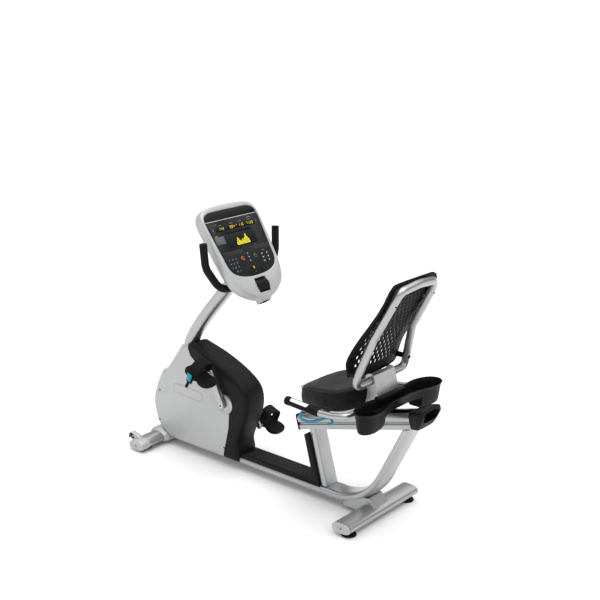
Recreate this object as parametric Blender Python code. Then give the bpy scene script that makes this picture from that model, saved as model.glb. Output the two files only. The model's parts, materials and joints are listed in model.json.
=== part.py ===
"""Recumbent exercise bike, one Blender object for each separate piece.

Metres, +Z up. The rider faces -X, the front of the machine is at -X, the rider's left is -Y, the floor is
z = 0, and the origin is on the floor under the middle of the whole machine.
"""

import math

import bmesh
import bpy
from mathutils import Matrix, Vector

# ---------------------------------------------------------------- driving dimensions
GAP = 0.0004                      # air left between two pieces that touch
FLOOR = 0.015                     # the floor's height in the layout below, which main() then moves into place
MIDDLE = -0.0132                  # the middle of the machine's length in the same layout

BEAM_HALF_WIDTH = 0.058
BEAM_HALF_HEIGHT = 0.023
BEAM_Z = 0.073
BEAM_FRONT_X = -0.790
BEAM_BEND_RADIUS = 0.30
REAR_LEAN = math.radians(26.8)    # rear upright, from vertical
REAR_UPRIGHT_FOOT_X = 0.552       # where its line meets the beam's line

RAIL_TILT = math.radians(15.2)
RAIL_ORIGIN = Vector((0.160, 0.0, 0.352))
RAIL_LENGTH = 0.690
RAIL_TOP = 0.072                  # height of the running surface's lips above the rail's underside
RAIL_FLOOR = 0.040                # floor of the roller channel
RAIL_CHANNEL_HALF = 0.027

POST_HALF_WIDTH = 0.045
POST_HALF_DEPTH = 0.018
POST_FOOT = (0.3045, 0.0955)

STABILIZER_A = 0.0525             # half depth of the oval stabilizer section
STABILIZER_B = 0.0255             # half height
REAR_STABILIZER = (0.586, 0.058)
REAR_STABILIZER_HALF = 0.262
FRONT_STABILIZER = (-0.820, 0.048)
FRONT_STABILIZER_HALF = 0.236
FRONT_ARCH = 0.010                # how much higher its middle is than its ends
CAP_THICK = 0.008
FOOT_X, FOOT_Y, FOOT_RADIUS = 0.600, 0.226, 0.036

CRANK = (-0.317, 0.366)
CRANK_LENGTH = 0.175
CRANK_ANGLE = math.radians(24.7)  # left crank at rest, from vertical towards the front
CRANK_ARM_Y = 0.1000              # middle of the arm's thickness
CRANK_ARM_HALF = 0.0070
PEDAL_Y = 0.172
PEDAL_TILT = math.radians(21.7)

SHROUD_HALF = 0.075
SHROUD_WALL = 0.003
SHROUD_EDGE = 0.024
SEAM_Z = 0.345                    # where the two black rear covers meet

FLYWHEEL = (-0.610, 0.268)
FLYWHEEL_RADIUS = 0.140
DRIVE_PULLEY_RADIUS = 0.116
FLYWHEEL_PULLEY_RADIUS = 0.0180
BELT_THICK = 0.0030
BELT_Y = 0.045
BELT_HALF = 0.006

CONSOLE_TILT = math.radians(33.9)
CONSOLE = Vector((-0.268, 0.0, 1.232))
CONSOLE_DEPTH = 0.070

SEAT_TILT = math.radians(10.5)
TUBE = 0.0190                     # radius of the seat-back and console handle tubes
SIDE_TUBE = 0.0145
GRIP = 0.0200
TRAY_RIM_Z = 0.648


# ---------------------------------------------------------------- modelling helpers
def clear_scene():
    for obj in list(bpy.data.objects):
        bpy.data.objects.remove(obj)


def material(name, colour, roughness, metallic=0.0):
    mat = bpy.data.materials.new(name)
    mat.use_nodes = True
    shader = mat.node_tree.nodes["Principled BSDF"]
    shader.inputs["Base Color"].default_value = (*colour, 1.0)
    shader.inputs["Roughness"].default_value = roughness
    shader.inputs["Metallic"].default_value = metallic
    return mat


def rotation_y(angle, at):
    """Turns the local X axis up by angle, about the Y axis through at."""
    return Matrix.Translation(at) @ Matrix.Rotation(-angle, 4, "Y")


RAIL = rotation_y(RAIL_TILT, RAIL_ORIGIN)
FACE = rotation_y(CONSOLE_TILT, CONSOLE)     # X out of the screen, Y across, Z up the face


def on_rail(x, y, z):
    return RAIL @ Vector((x, y, z))


def on_face(out, across, up):
    return FACE @ Vector((out, across, up))


def add(name, bm, mat=None, matrix=None, origin=None, helper=False):
    """Makes the object, with its origin at the given point and smooth shading between sharp edges."""
    if matrix is not None:
        bm.transform(matrix)
    if origin is not None:
        bm.transform(Matrix.Translation(-Vector(origin)))
    bmesh.ops.recalc_face_normals(bm, faces=bm.faces)
    mesh = bpy.data.meshes.new(name)
    bm.to_mesh(mesh)
    bm.free()
    mesh.shade_smooth()
    mesh.set_sharp_from_angle(angle=math.radians(35))
    obj = bpy.data.objects.new(name, mesh)
    bpy.context.scene.collection.objects.link(obj)
    if origin is not None:
        obj.location = origin
    if mat is not None:
        mesh.materials.append(mat)
    if helper:
        obj.hide_render = True
        obj.display_type = "WIRE"
    return obj


def skin(rings, closed=False):
    """A bmesh through rings of points. Its ends are capped, or joined to each other if closed."""
    bm = bmesh.new()
    rows = [[bm.verts.new(p) for p in ring] for ring in rings]
    count = len(rows[0])
    pairs = list(zip(rows, rows[1:])) + ([(rows[-1], rows[0])] if closed else [])
    for lower, upper in pairs:
        for i in range(count):
            j = (i + 1) % count
            bm.faces.new((lower[i], lower[j], upper[j], upper[i]))
    if not closed:
        bm.faces.new(rows[0])
        bm.faces.new(rows[-1])
    return bm


def prism(outline, plane, low, high):
    """A bmesh of an outline in the XZ, XY or YZ plane, extruded between two values of the third axis."""
    places = {
        "XZ": lambda p, t: Vector((p[0], t, p[1])),
        "XY": lambda p, t: Vector((p[0], p[1], t)),
        "YZ": lambda p, t: Vector((t, p[0], p[1])),
    }
    return skin([[places[plane](p, t) for p in outline] for t in (low, high)])


def box(low, high):
    outline = [(low[0], low[1]), (high[0], low[1]), (high[0], high[1]), (low[0], high[1])]
    return prism(outline, "XY", low[2], high[2])


def round_y(centre, profile, segments=24):
    """A turned solid about the Y axis through centre (x, z). Its profile is (radius, y) from end to end."""
    rings = []
    for radius, y in profile:
        rings.append([
            Vector((centre[0] + radius * math.cos(a), y, centre[1] + radius * math.sin(a)))
            for a in (math.tau * i / segments for i in range(segments))
        ])
    return skin(rings)


def round_z(centre, profile, segments=24):
    """A turned solid about the vertical through centre (x, y). Its profile is (radius, z) from end to end."""
    rings = []
    for radius, z in profile:
        rings.append([
            Vector((centre[0] + radius * math.cos(a), centre[1] + radius * math.sin(a), z))
            for a in (math.tau * i / segments for i in range(segments))
        ])
    return skin(rings)


def oval(a, b, count=24, power=2.0):
    """A superellipse with half sizes a and b, as (first, second) pairs."""
    points = []
    for i in range(count):
        t = math.tau * i / count
        c, s = math.cos(t), math.sin(t)
        points.append((
            a * math.copysign(abs(c) ** (2 / power), c),
            b * math.copysign(abs(s) ** (2 / power), s),
        ))
    return points


def arc(centre, radius, start, end, steps):
    """Points of an arc from start to end, in degrees."""
    return [
        (
            centre[0] + radius * math.cos(math.radians(start + (end - start) * i / steps)),
            centre[1] + radius * math.sin(math.radians(start + (end - start) * i / steps)),
        )
        for i in range(steps + 1)
    ]


def smooth(points, steps, closed=False):
    """A Catmull-Rom curve through points of any dimension, with steps pieces between two of them."""
    points = [Vector(p) for p in points]
    count = len(points)
    found = []
    for i in range(count if closed else count - 1):
        if closed:
            p0, p1, p2, p3 = (points[(i + k) % count] for k in (-1, 0, 1, 2))
        else:
            p1, p2 = points[i], points[i + 1]
            p0 = points[i - 1] if i else p1 * 2 - p2
            p3 = points[i + 2] if i + 2 < count else p2 * 2 - p1
        for k in range(steps):
            t = k / steps
            found.append(0.5 * (
                2 * p1 + (p2 - p0) * t + (2 * p0 - 5 * p1 + 4 * p2 - p3) * t ** 2
                + (3 * p1 - p0 - 3 * p2 + p3) * t ** 3
            ))
    if not closed:
        found.append(points[-1])
    return found


def rounded(corners, radius, steps=4, closed=False):
    """A route of straight runs through 3-D corners, with each corner rounded."""
    corners = [Vector(c) for c in corners]
    count = len(corners)
    found = [] if closed else [corners[0]]
    for i in (range(count) if closed else range(1, count - 1)):
        before, here, after = corners[i - 1], corners[i], corners[(i + 1) % count]
        to_before, to_after = (before - here).normalized(), (after - here).normalized()
        turn = math.pi - to_before.angle(to_after)
        reach = min(radius * math.tan(turn / 2), 0.49 * (before - here).length, 0.49 * (after - here).length)
        first, last = here + to_before * reach, here + to_after * reach
        for k in range(steps + 1):
            t = k / steps
            found.append(first * (1 - t) ** 2 + here * 2 * t * (1 - t) + last * t ** 2)
    if not closed:
        found.append(corners[-1])
    return found


def tube(name, points, radius, mat=None, resolution=3, closed=False, helper=False, origin=None):
    """A round tube along points, made as a curve with a bevel."""
    shift = Vector(origin) if origin is not None else Vector((0, 0, 0))
    curve = bpy.data.curves.new(name, "CURVE")
    curve.dimensions = "3D"
    curve.bevel_depth = radius
    curve.bevel_resolution = resolution
    curve.use_fill_caps = True
    spline = curve.splines.new("POLY")
    spline.points.add(len(points) - 1)
    for point, place in zip(spline.points, points):
        point.co = (*(Vector(place) - shift), 1.0)
    spline.use_cyclic_u = closed
    obj = bpy.data.objects.new(name, curve)
    bpy.context.scene.collection.objects.link(obj)
    obj.location = shift
    if mat is not None:
        curve.materials.append(mat)
    if helper:
        obj.hide_render = True
        obj.display_type = "WIRE"
    return obj


def tube_mesh(points, radius, segments=14, closed=False):
    """The same tube as a bmesh, for pieces that a Boolean cuts or joins."""
    points = [Vector(p) for p in points]
    count = len(points)
    rings = []
    normal = None
    for i, here in enumerate(points):
        after = points[(i + 1) % count] if closed or i + 1 < count else here
        before = points[i - 1] if closed or i else here
        along = (after - before).normalized()
        if normal is None:
            guide = Vector((0, 0, 1)) if abs(along.z) < 0.8 else Vector((1, 0, 0))
            normal = along.cross(guide).normalized()
        normal = (normal - along * normal.dot(along)).normalized()
        side = along.cross(normal)
        rings.append([
            here + (normal * math.cos(a) + side * math.sin(a)) * radius
            for a in (math.tau * k / segments for k in range(segments))
        ])
    return skin(rings, closed)


def sweep(path, section, start=None, end=None):
    """A bmesh of a (y, offset) section swept along an XZ path. start and end are planes (point, normal) that
    cut its ends."""
    path = [Vector((x, 0, z)) for x, z in path]
    rings = []
    for i, here in enumerate(path):
        after, before = path[min(i + 1, len(path) - 1)], path[max(i - 1, 0)]
        along = (after - before).normalized()
        up = Vector((-along.z, 0, along.x))
        ring = [here + Vector((0, y, 0)) + up * t for y, t in section]
        plane = start if i == 0 else end if i == len(path) - 1 else None
        if plane is not None:
            point, normal = Vector(plane[0]), Vector(plane[1])
            ring = [p + along * ((point - p).dot(normal) / along.dot(normal)) for p in ring]
        rings.append(ring)
    return skin(rings)


def grown(section, by):
    """A section of (a, b) points moved outwards from its middle by a small distance."""
    found = []
    for a, b in section:
        length = math.hypot(a, b)
        found.append((a * (1 + by / length), b * (1 + by / length)))
    return found


def inset(outline, distance):
    """A closed outline of 2-D points, anticlockwise, moved inwards."""
    points = [Vector(p) for p in outline]
    count = len(points)
    found = []
    for i, here in enumerate(points):
        d1 = (here - points[i - 1]).normalized()
        d2 = (points[(i + 1) % count] - here).normalized()
        n1, n2 = Vector((-d1.y, d1.x)), Vector((-d2.y, d2.x))
        middle = (n1 + n2).normalized()
        found.append(tuple(here + middle * (distance / max(middle.dot(n1), 0.5))))
    return found


def boolean(obj, other, operation="DIFFERENCE"):
    modifier = obj.modifiers.new(operation.title(), "BOOLEAN")
    modifier.operation = operation
    modifier.object = other
    modifier.solver = "EXACT"


def bevel(obj, width, segments=2, angle=35):
    modifier = obj.modifiers.new("Bevel", "BEVEL")
    modifier.width = width
    modifier.segments = segments
    modifier.limit_method = "ANGLE"
    modifier.angle_limit = math.radians(angle)


def cutter(name, bm, matrix=None):
    return add(name, bm, matrix=matrix, helper=True)


def sides():
    """(name ending, sign of y) for the rider's left and right."""
    return (("left", -1), ("right", 1))


def rail_under(x):
    """Height of the rail's underside at x."""
    return RAIL_ORIGIN.z + (x - RAIL_ORIGIN.x) * math.tan(RAIL_TILT)


RAIL_NORMAL = Vector((-math.sin(RAIL_TILT), 0, math.cos(RAIL_TILT)))


# ---------------------------------------------------------------- frame
def beam_path():
    """The floor beam's middle line: straight, then bent up into the rear upright."""
    lean_from_beam = math.pi / 2 - REAR_LEAN
    start_x = REAR_UPRIGHT_FOOT_X - BEAM_BEND_RADIUS * math.tan(lean_from_beam / 2)
    centre = (start_x, BEAM_Z + BEAM_BEND_RADIUS)
    bend = arc(centre, BEAM_BEND_RADIUS, -90, -90 + math.degrees(lean_from_beam), 9)
    top_z = 0.50
    top_x = REAR_UPRIGHT_FOOT_X + (top_z - BEAM_Z) * math.tan(REAR_LEAN)
    return [(BEAM_FRONT_X, BEAM_Z), *bend, (top_x, top_z)]


def beam_section(extra=0.0):
    return grown(oval(BEAM_HALF_WIDTH, BEAM_HALF_HEIGHT, 24, 3.0), extra)


def make_beam(mat):
    under_rail = (RAIL_ORIGIN - RAIL_NORMAL * GAP, RAIL_NORMAL)
    beam = add("main_beam", sweep(beam_path(), beam_section(), end=under_rail), mat)
    boolean(beam, cutter("beam_cope", skin(front_stabilizer_rings(GAP))))


def beam_cutter():
    return cutter("beam_clearance", sweep(beam_path(), beam_section(GAP), end=(RAIL_ORIGIN, RAIL_NORMAL)))


def make_post(mat):
    """The short upright under the front of the seat rail."""
    x, z = POST_FOOT
    top = (x + RAIL_NORMAL.x * 0.28, z + RAIL_NORMAL.z * 0.28)
    section = [(y, t) for y, t in oval(POST_HALF_WIDTH, POST_HALF_DEPTH, 20, 7.0)]
    floor = (Vector((0, 0, BEAM_Z + BEAM_HALF_HEIGHT + GAP)), Vector((0, 0, 1)))
    under_rail = (RAIL_ORIGIN - RAIL_NORMAL * GAP, RAIL_NORMAL)
    add("front_upright", sweep([(x, z), top], section, start=floor, end=under_rail), mat)


def rail_section():
    """Half of the rail's (y, z) outline, from the bottom middle outwards and up, into the roller channel."""
    barrel = arc((0.020, 0.050), 0.034, -35, 38, 5)
    half = [
        (0.050, 0.0), (0.050, 0.022), (0.043, 0.024), (0.043, 0.028), *barrel,
        (0.043, RAIL_TOP), (RAIL_CHANNEL_HALF, RAIL_TOP), (RAIL_CHANNEL_HALF, RAIL_FLOOR),
    ]
    return half + [(-y, z) for y, z in reversed(half)]


def make_rail(mat):
    add("seat_rail", prism(rail_section(), "YZ", 0.0, RAIL_LENGTH), mat, RAIL)


def make_rail_caps(mat, beam_clearance):
    """The black lip at the rail's front and the flared lifting handle at its rear."""
    front = [(-GAP, -0.004), (-GAP, 0.076), (-0.002, 0.076), *arc((-0.002, 0.068), 0.008, 90, 165, 3),
             (-0.010, -0.004)]
    cap = add("rail_front_cap", prism(front, "XZ", -0.053, 0.053), mat, RAIL)
    bevel(cap, 0.004)
    boolean(cap, cutter("front_cap_pocket", box((-0.006, -0.026, RAIL_FLOOR), (0.02, 0.026, 0.10)), RAIL))

    rings = []
    start = RAIL_LENGTH - 0.022
    for x, half, low, high in (
        (start, 0.056, -0.003, 0.079), (start + 0.025, 0.061, -0.006, 0.085),
        (start + 0.045, 0.070, 0.000, 0.089), (start + 0.072, 0.076, 0.030, 0.089),
        (start + 0.089, 0.074, 0.052, 0.086),
    ):
        middle, height = (low + high) / 2, (high - low) / 2
        rings.append([Vector((x, y, middle + z)) for y, z in oval(half, height, 24, 5.0)])
    cap = add("rail_rear_cap", skin(rings), mat, RAIL)
    clearance = inset(rail_section(), -0.0006)
    boolean(cap, cutter("rail_clearance", prism(clearance, "YZ", -0.02, RAIL_LENGTH + GAP), RAIL))
    boolean(cap, beam_clearance)
    channel = box((start - 0.01, -RAIL_CHANNEL_HALF, RAIL_FLOOR - 0.002),
                  (RAIL_LENGTH + GAP, RAIL_CHANNEL_HALF, 0.075))
    boolean(cap, cutter("rear_cap_channel", channel, RAIL))
    hand = prism(oval(0.056, 0.022, 16, 4.0), "YZ", start + 0.035, start + 0.15)
    boolean(cap, cutter("hand_recess", hand, RAIL @ Matrix.Translation((0, 0, 0.048))))


def make_tread(mat, clearance):
    """The black tread on the beam, which turns up in front of the post."""
    post_x, post_z = POST_FOOT
    front_of_post = post_x - POST_HALF_DEPTH / math.cos(RAIL_TILT) - GAP
    top_z = 0.344
    top_x = front_of_post - (top_z - post_z) * math.tan(RAIL_TILT)
    thick = 0.032
    outline = [
        (-0.236, 0.080), (front_of_post + 0.004, 0.080), (front_of_post, post_z),
        (top_x, top_z), (top_x - thick, top_z - thick * math.tan(RAIL_TILT)),
        *arc((0.190, 0.155), 0.042, 12, -90, 6), (-0.236, 0.113),
    ]
    tread = add("tread_cover", prism(outline, "XZ", -0.054, 0.054), mat)
    bevel(tread, 0.004)
    boolean(tread, clearance)


def stabilizer_section(extra=0.0):
    return grown(oval(STABILIZER_A, STABILIZER_B, 24, 2.3), extra)


def make_rear_stabilizer(mat, cap_mat, clearance):
    x0, z0 = REAR_STABILIZER
    outline = [(x0 + a, z0 + b) for a, b in stabilizer_section()]
    bar = add("rear_stabilizer", prism(outline, "XZ", -REAR_STABILIZER_HALF, REAR_STABILIZER_HALF), mat)
    wedge = [(0.430, 0.041), (0.560, 0.041), (0.600, 0.060), (0.620, 0.074), (0.577, 0.119),
             (0.540, 0.119), (0.430, 0.060)]
    boolean(bar, cutter("stabilizer_wedge", prism(wedge, "XZ", -0.054, 0.054)), "UNION")
    boolean(bar, clearance)
    for side, sign in sides():
        bore = round_z((FOOT_X, sign * FOOT_Y), [(0.0068, 0.0), (0.0068, 0.067)], 12)
        boolean(bar, cutter("foot_bore_" + side, bore))
        inner = sign * (REAR_STABILIZER_HALF + GAP)
        outer = sign * (REAR_STABILIZER_HALF + CAP_THICK)
        cap = add("rear_stabilizer_cap_" + side, prism(outline, "XZ", *sorted((inner, outer))), cap_mat)
        bevel(cap, 0.002, 1, 60)


def make_levelling_feet(mat):
    for side, sign in sides():
        profile = [
            (0.033, FLOOR), (FOOT_RADIUS, FLOOR + 0.004), (0.034, FLOOR + 0.009), (0.014, FLOOR + 0.013),
            (0.0062, FLOOR + 0.015), (0.0062, 0.052),
        ]
        place = (FOOT_X, sign * FOOT_Y)
        add("levelling_foot_" + side, round_z(place, profile, 20), mat, origin=(*place, FLOOR))


def front_stabilizer_rings(extra=0.0, half=FRONT_STABILIZER_HALF):
    x0, z0 = FRONT_STABILIZER
    rings = []
    for share in (-1, -0.6, -0.25, 0.25, 0.6, 1):
        rise = FRONT_ARCH * (1 - share * share)
        rings.append([Vector((x0 + a, share * half, z0 + rise + b)) for a, b in stabilizer_section(extra)])
    return rings


def make_front_stabilizer(mat, cap_mat, rubber, tyre):
    add("front_stabilizer", skin(front_stabilizer_rings()), mat)
    clearance = cutter("front_bar_clearance", skin(front_stabilizer_rings(GAP)))
    x0, z0 = FRONT_STABILIZER
    wheel = (-0.8845, 0.0755)
    outline = [(x0 + a, z0 + b) for a, b in stabilizer_section()]
    fender = [
        (-0.862, 0.050), (-0.882, 0.058), (-0.8905, 0.070), *arc(wheel, 0.0230, 115, 75, 3), (-0.850, 0.0955),
        (-0.822, 0.0860), (-0.812, 0.072),
    ]
    for side, sign in sides():
        inner = sign * (FRONT_STABILIZER_HALF + GAP)
        outer = sign * (FRONT_STABILIZER_HALF + CAP_THICK)
        cap = add("front_stabilizer_cap_" + side, prism(outline, "XZ", *sorted((inner, outer))), cap_mat)
        low, high = sorted((sign * 0.1900, sign * 0.2135))
        sleeve = []
        for place, rise in ((0.1885, 0.0032), (FRONT_STABILIZER_HALF, 0.0),
                            (FRONT_STABILIZER_HALF + 0.003, 0.0)):
            ring = [Vector((x0 + a, sign * place, z0 + rise + b)) for a, b in stabilizer_section(0.0020)]
            sleeve.append(ring)
        boolean(cap, cutter("cap_sleeve_" + side, skin(sleeve)), "UNION")
        boolean(cap, cutter("fender_" + side, prism(fender, "XZ", low, high)), "UNION")
        boolean(cap, clearance)
        low, high = sorted((sign * 0.10, inner))
        boolean(cap, cutter("cap_underside_" + side, box((-0.90, low, 0.0), (-0.70, high, z0 + 0.004))))
        low, high = sorted((sign * 0.1940, sign * 0.2095))
        boolean(cap, cutter("wheel_pocket_" + side, round_y(wheel, [(0.0200, low), (0.0200, high)], 20)))
        low, high = sorted((sign * 0.180, sign * 0.220))
        boolean(cap, cutter("wheel_bore_" + side, round_y(wheel, [(0.0036, low), (0.0036, high)], 10)))
        near, far = sign * 0.1950, sign * 0.2085
        profile = [
            (0.0030, near - sign * 0.005), (0.0030, near), (0.0165, near), (0.0185, near + sign * 0.003),
            (0.0185, far - sign * 0.003), (0.0165, far), (0.0030, far), (0.0030, far + sign * 0.005),
        ]
        add("transport_wheel_" + side, round_y(wheel, profile, 20), tyre,
            origin=(wheel[0], sign * 0.20175, wheel[1]))
        low, high = sorted((sign * 0.155, sign * 0.228))
        pad = add("front_pad_" + side, box((-0.848, low, FLOOR), (-0.795, high, 0.034)), rubber)
        boolean(pad, clearance)


# ---------------------------------------------------------------- shroud
def shroud_outline():
    """The housing's outline in XZ, anticlockwise from the bottom rear."""
    rear = smooth([
        (-0.236, 0.118), (-0.243, 0.170), (-0.213, 0.245), (-0.182, 0.320), (-0.170, 0.392),
        (-0.184, 0.452), (-0.230, 0.499), (-0.324, 0.549), (-0.451, 0.597), (-0.556, 0.634),
    ], 3)
    front = smooth([
        (-0.657, 0.601), (-0.752, 0.457), (-0.785, 0.440), (-0.832, 0.350), (-0.860, 0.262), (-0.848, 0.180),
        (-0.822, 0.120), (-0.800, 0.100),
    ], 3)
    points = [(-0.236, 0.062), *[tuple(p) for p in rear], *[tuple(p) for p in front], (-0.735, 0.062)]
    return points


def shroud_half_width(x, z):
    """The housing narrows to the mast at its top front."""
    up = min(max((z - 0.42) / 0.22, 0), 1)
    forward = min(max((-0.40 - x) / 0.22, 0), 1)
    return 1 - 0.36 * up * up * (3 - 2 * up) * forward * forward * (3 - 2 * forward)


def shroud_solid(shrink):
    """The housing as a solid, with rounded long edges, made smaller all round by shrink."""
    outline = inset(shroud_outline(), shrink)
    edge = SHROUD_EDGE - shrink
    half = SHROUD_HALF - shrink
    quarter = (0, math.pi / 6, math.pi / 3, math.pi / 2)
    steps = [(edge * (1 - math.sin(a)), half - edge + edge * math.cos(a)) for a in quarter]
    rings = []
    for sign, order in ((-1, steps), (1, steps[::-1])):
        for pull, y in order:
            ring = inset(outline, pull) if pull > 0 else outline
            rings.append([Vector((x, sign * y, z)) for x, z in ring])
    bm = skin(rings)
    for z in (0.42, 0.48, 0.53, 0.58):
        geometry = list(bm.verts) + list(bm.edges) + list(bm.faces)
        bmesh.ops.bisect_plane(bm, geom=geometry, plane_co=(0, 0, z), plane_no=(0, 0, 1))
    for x in (-0.62, -0.51, -0.40):
        geometry = list(bm.verts) + list(bm.edges) + list(bm.faces)
        bmesh.ops.bisect_plane(bm, geom=geometry, plane_co=(x, 0, 0), plane_no=(1, 0, 0))
    for v in bm.verts:
        v.co.y *= shroud_half_width(v.co.x, v.co.z)
    bmesh.ops.triangulate(bm, faces=bm.faces)
    return bm


def cover_boundary():
    """Where the silver side covers meet the black rear covers, from the top down."""
    x, z = CRANK
    return [
        (-0.606, 0.700), (-0.606, 0.620), (-0.597, 0.590), (-0.572, 0.562), (-0.353, 0.434), (x, z + 0.030),
        (x + 0.030, z), (x + 0.0285, SEAM_Z), (-0.296, 0.240), (-0.345, 0.040),
    ]


def make_shroud(silver, black, mast_clearance, beam_clearance):
    outer = cutter("shroud_outer", shroud_solid(0.0))
    inner = cutter("shroud_inner", shroud_solid(SHROUD_WALL))
    boundary = cover_boundary()
    forward = [(-1.0, 0.75), (-1.0, 0.0), *[(x - GAP, z) for x, z in reversed(boundary)]]
    crank_hole = cutter("crank_hole", round_y(CRANK, [(0.0545, -0.2), (0.0545, 0.2)], 32))
    bar = cutter("shroud_bar_clearance", skin(front_stabilizer_rings(GAP)))
    sleeve_rings = []
    for y, extra in ((-0.089, 0.0035), (-0.081, 0.009), (-0.066, 0.018), (0.066, 0.018), (0.081, 0.009),
                     (0.089, 0.0035)):
        rise = FRONT_ARCH * (1 - (y / FRONT_STABILIZER_HALF) ** 2)
        sleeve_rings.append([
            Vector((FRONT_STABILIZER[0] + a, y, FRONT_STABILIZER[1] + rise + b))
            for a, b in stabilizer_section(extra)
        ])
    sleeve = cutter("stabilizer_sleeve", skin(sleeve_rings))
    pocket = cutter("stabilizer_pocket", box((-0.8065, -0.034, 0.05), (-0.780, 0.034, 0.1185)))

    def cover(name, region, low, high, mat, cuts):
        """The part of the housing's wall that lies over a region of the XZ plane, between two values of y."""
        piece = add(name, prism(region, "XZ", low, high), mat)
        boolean(piece, outer, "INTERSECT")
        for cut in cuts:
            boolean(piece, cut)
        return piece

    for side, sign in sides():
        low, high = sorted((sign * GAP / 2, sign * 0.2))
        region = prism(forward, "XZ", low, high)
        piece = add("shroud_" + side, region, silver)
        boolean(piece, outer, "INTERSECT")
        half_sleeve = add("sleeve_" + side, box((-1.0, low, 0.022), (-0.7, high, 0.2)), helper=True)
        boolean(half_sleeve, sleeve, "INTERSECT")
        boolean(piece, half_sleeve, "UNION")
        for cut in (inner, pocket, crank_hole, bar, mast_clearance, beam_clearance):
            boolean(piece, cut)
    upper = [*[(x + GAP, max(z, SEAM_Z + GAP)) for x, z in boundary if z >= SEAM_Z], (0.0, SEAM_Z + GAP),
             (0.0, 0.75)]
    lower = [*[(x + GAP, min(z, SEAM_Z - GAP)) for x, z in boundary if z <= SEAM_Z], (0.0, 0.0),
             (0.0, SEAM_Z - GAP)]
    cover("rear_cover_upper", upper, -0.2, 0.2, black, (inner, crank_hole, mast_clearance))
    cover("rear_cover_lower", lower, -0.2, 0.2, black, (inner, crank_hole, beam_clearance))


# ---------------------------------------------------------------- mast and drive
def mast_path():
    return [tuple(p) for p in smooth([
        (-0.655, 0.455), (-0.641, 0.540), (-0.616, 0.628), (-0.560, 0.715), (-0.489, 0.803),
        (-0.410, 0.890), (-0.340, 0.968), (-0.262, 1.050),
    ], 2)]


def mast_section(extra=0.0):
    return grown(oval(0.0385, 0.0335, 20, 2.4), extra)


def make_mast(mat):
    under_console = (on_face(-CONSOLE_DEPTH - GAP, 0, 0), FACE.to_3x3() @ Vector((1, 0, 0)))
    add("mast", sweep(mast_path(), mast_section(), end=under_console), mat)


def make_drive_frame(mat):
    """The welded plate inside the housing that carries the bearing, the flywheel and the mast."""
    x, z = CRANK
    base = BEAM_Z + BEAM_HALF_HEIGHT + GAP
    plate = [
        (-0.640, base), (-0.290, base), (x + 0.030, z - 0.030), (x + 0.020, z + 0.028),
        (x - 0.030, z + 0.022),
        (-0.420, 0.320), (-0.520, 0.340), (-0.610, 0.425), (-0.632, 0.440), (-0.672, 0.440),
        (-0.700, 0.400), (-0.690, 0.330),
    ]
    frame = add("drive_frame", prism(plate, "XZ", 0.002, 0.020), mat)
    shell = cutter("bearing_shell", round_y(CRANK, [(0.030, -0.034), (0.030, 0.034)], 24))
    boolean(frame, shell, "UNION")
    boolean(frame, cutter("bearing_bore", round_y(CRANK, [(0.0213, -0.05), (0.0213, 0.05)], 24)))
    along = Vector((0.014, 0, 0.085)).normalized()
    across = Vector((-along.z, 0, along.x))
    foot = Vector((-0.655, 0, 0.455)) - along * (0.0135 + GAP)
    corners = [foot + across * s + along * t
               for s, t in ((-0.034, -0.012), (0.034, -0.012), (0.034, 0.012), (-0.034, 0.012))]
    socket = [(c.x, c.z) for c in corners]
    boolean(frame, cutter("mast_seat", prism(socket, "XZ", -0.038, 0.038)), "UNION")
    hub = round_y(FLYWHEEL, [(0.022, -0.006), (0.022, 0.028)], 20)
    boolean(frame, cutter("flywheel_hub", hub), "UNION")
    boolean(frame, cutter("flywheel_bore", round_y(FLYWHEEL, [(0.0105, -0.05), (0.0105, 0.06)], 20)))
    toe = [(-0.800, base), (-0.640, base), (-0.640, 0.200), (-0.690, 0.200), (-0.800, 0.118)]
    boolean(frame, cutter("frame_toe", prism(toe, "XZ", 0.002, 0.030)), "UNION")
    boolean(frame, cutter("toe_clearance", skin(front_stabilizer_rings(GAP))))


def make_crank_set(steel, black_metal, silver):
    x, z = CRANK
    axle = (x, 0.0, z)
    add("bottom_bracket", skin_ring(CRANK, 0.0210, 0.0103, -0.0345, 0.0345, 24), steel)
    shaft = [(0.0085, -0.108), (0.0100, -0.092), (0.0100, 0.092), (0.0085, 0.108)]
    add("crank_axle", round_y(CRANK, shaft, 20), steel, origin=axle)
    pulley = [(0.040, BELT_Y - 0.010), (DRIVE_PULLEY_RADIUS + 0.003, BELT_Y - 0.008),
              (DRIVE_PULLEY_RADIUS, BELT_Y - BELT_HALF - 0.001),
              (DRIVE_PULLEY_RADIUS, BELT_Y + BELT_HALF + 0.001),
              (DRIVE_PULLEY_RADIUS + 0.003, BELT_Y + 0.008), (0.040, BELT_Y + 0.010)]
    wheel = add("drive_pulley", round_y(CRANK, pulley, 36), black_metal, origin=axle)
    boolean(wheel, cutter("pulley_bore", round_y(CRANK, [(0.0103, 0.0), (0.0103, 0.1)], 20)))
    for side, sign in sides():
        disc = [(0.0530, sign * 0.0745), (0.0530, sign * 0.0790), (0.0440, sign * 0.0850)]
        plate = add("crank_disc_" + side, round_y(CRANK, disc, 32), silver, origin=axle)
        bore = round_y(CRANK, [(0.0104, sign * 0.05), (0.0104, sign * 0.2)], 20)
        boolean(plate, cutter("disc_bore_" + side, bore))


def skin_ring(centre, outer, inner, low, high, segments):
    """A plain turned ring about the Y axis."""
    rings = []
    for radius, y in ((outer, low), (outer, high), (inner, high), (inner, low)):
        rings.append([
            Vector((centre[0] + radius * math.cos(a), y, centre[1] + radius * math.sin(a)))
            for a in (math.tau * i / segments for i in range(segments))
        ])
    return skin(rings, closed=True)


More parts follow.
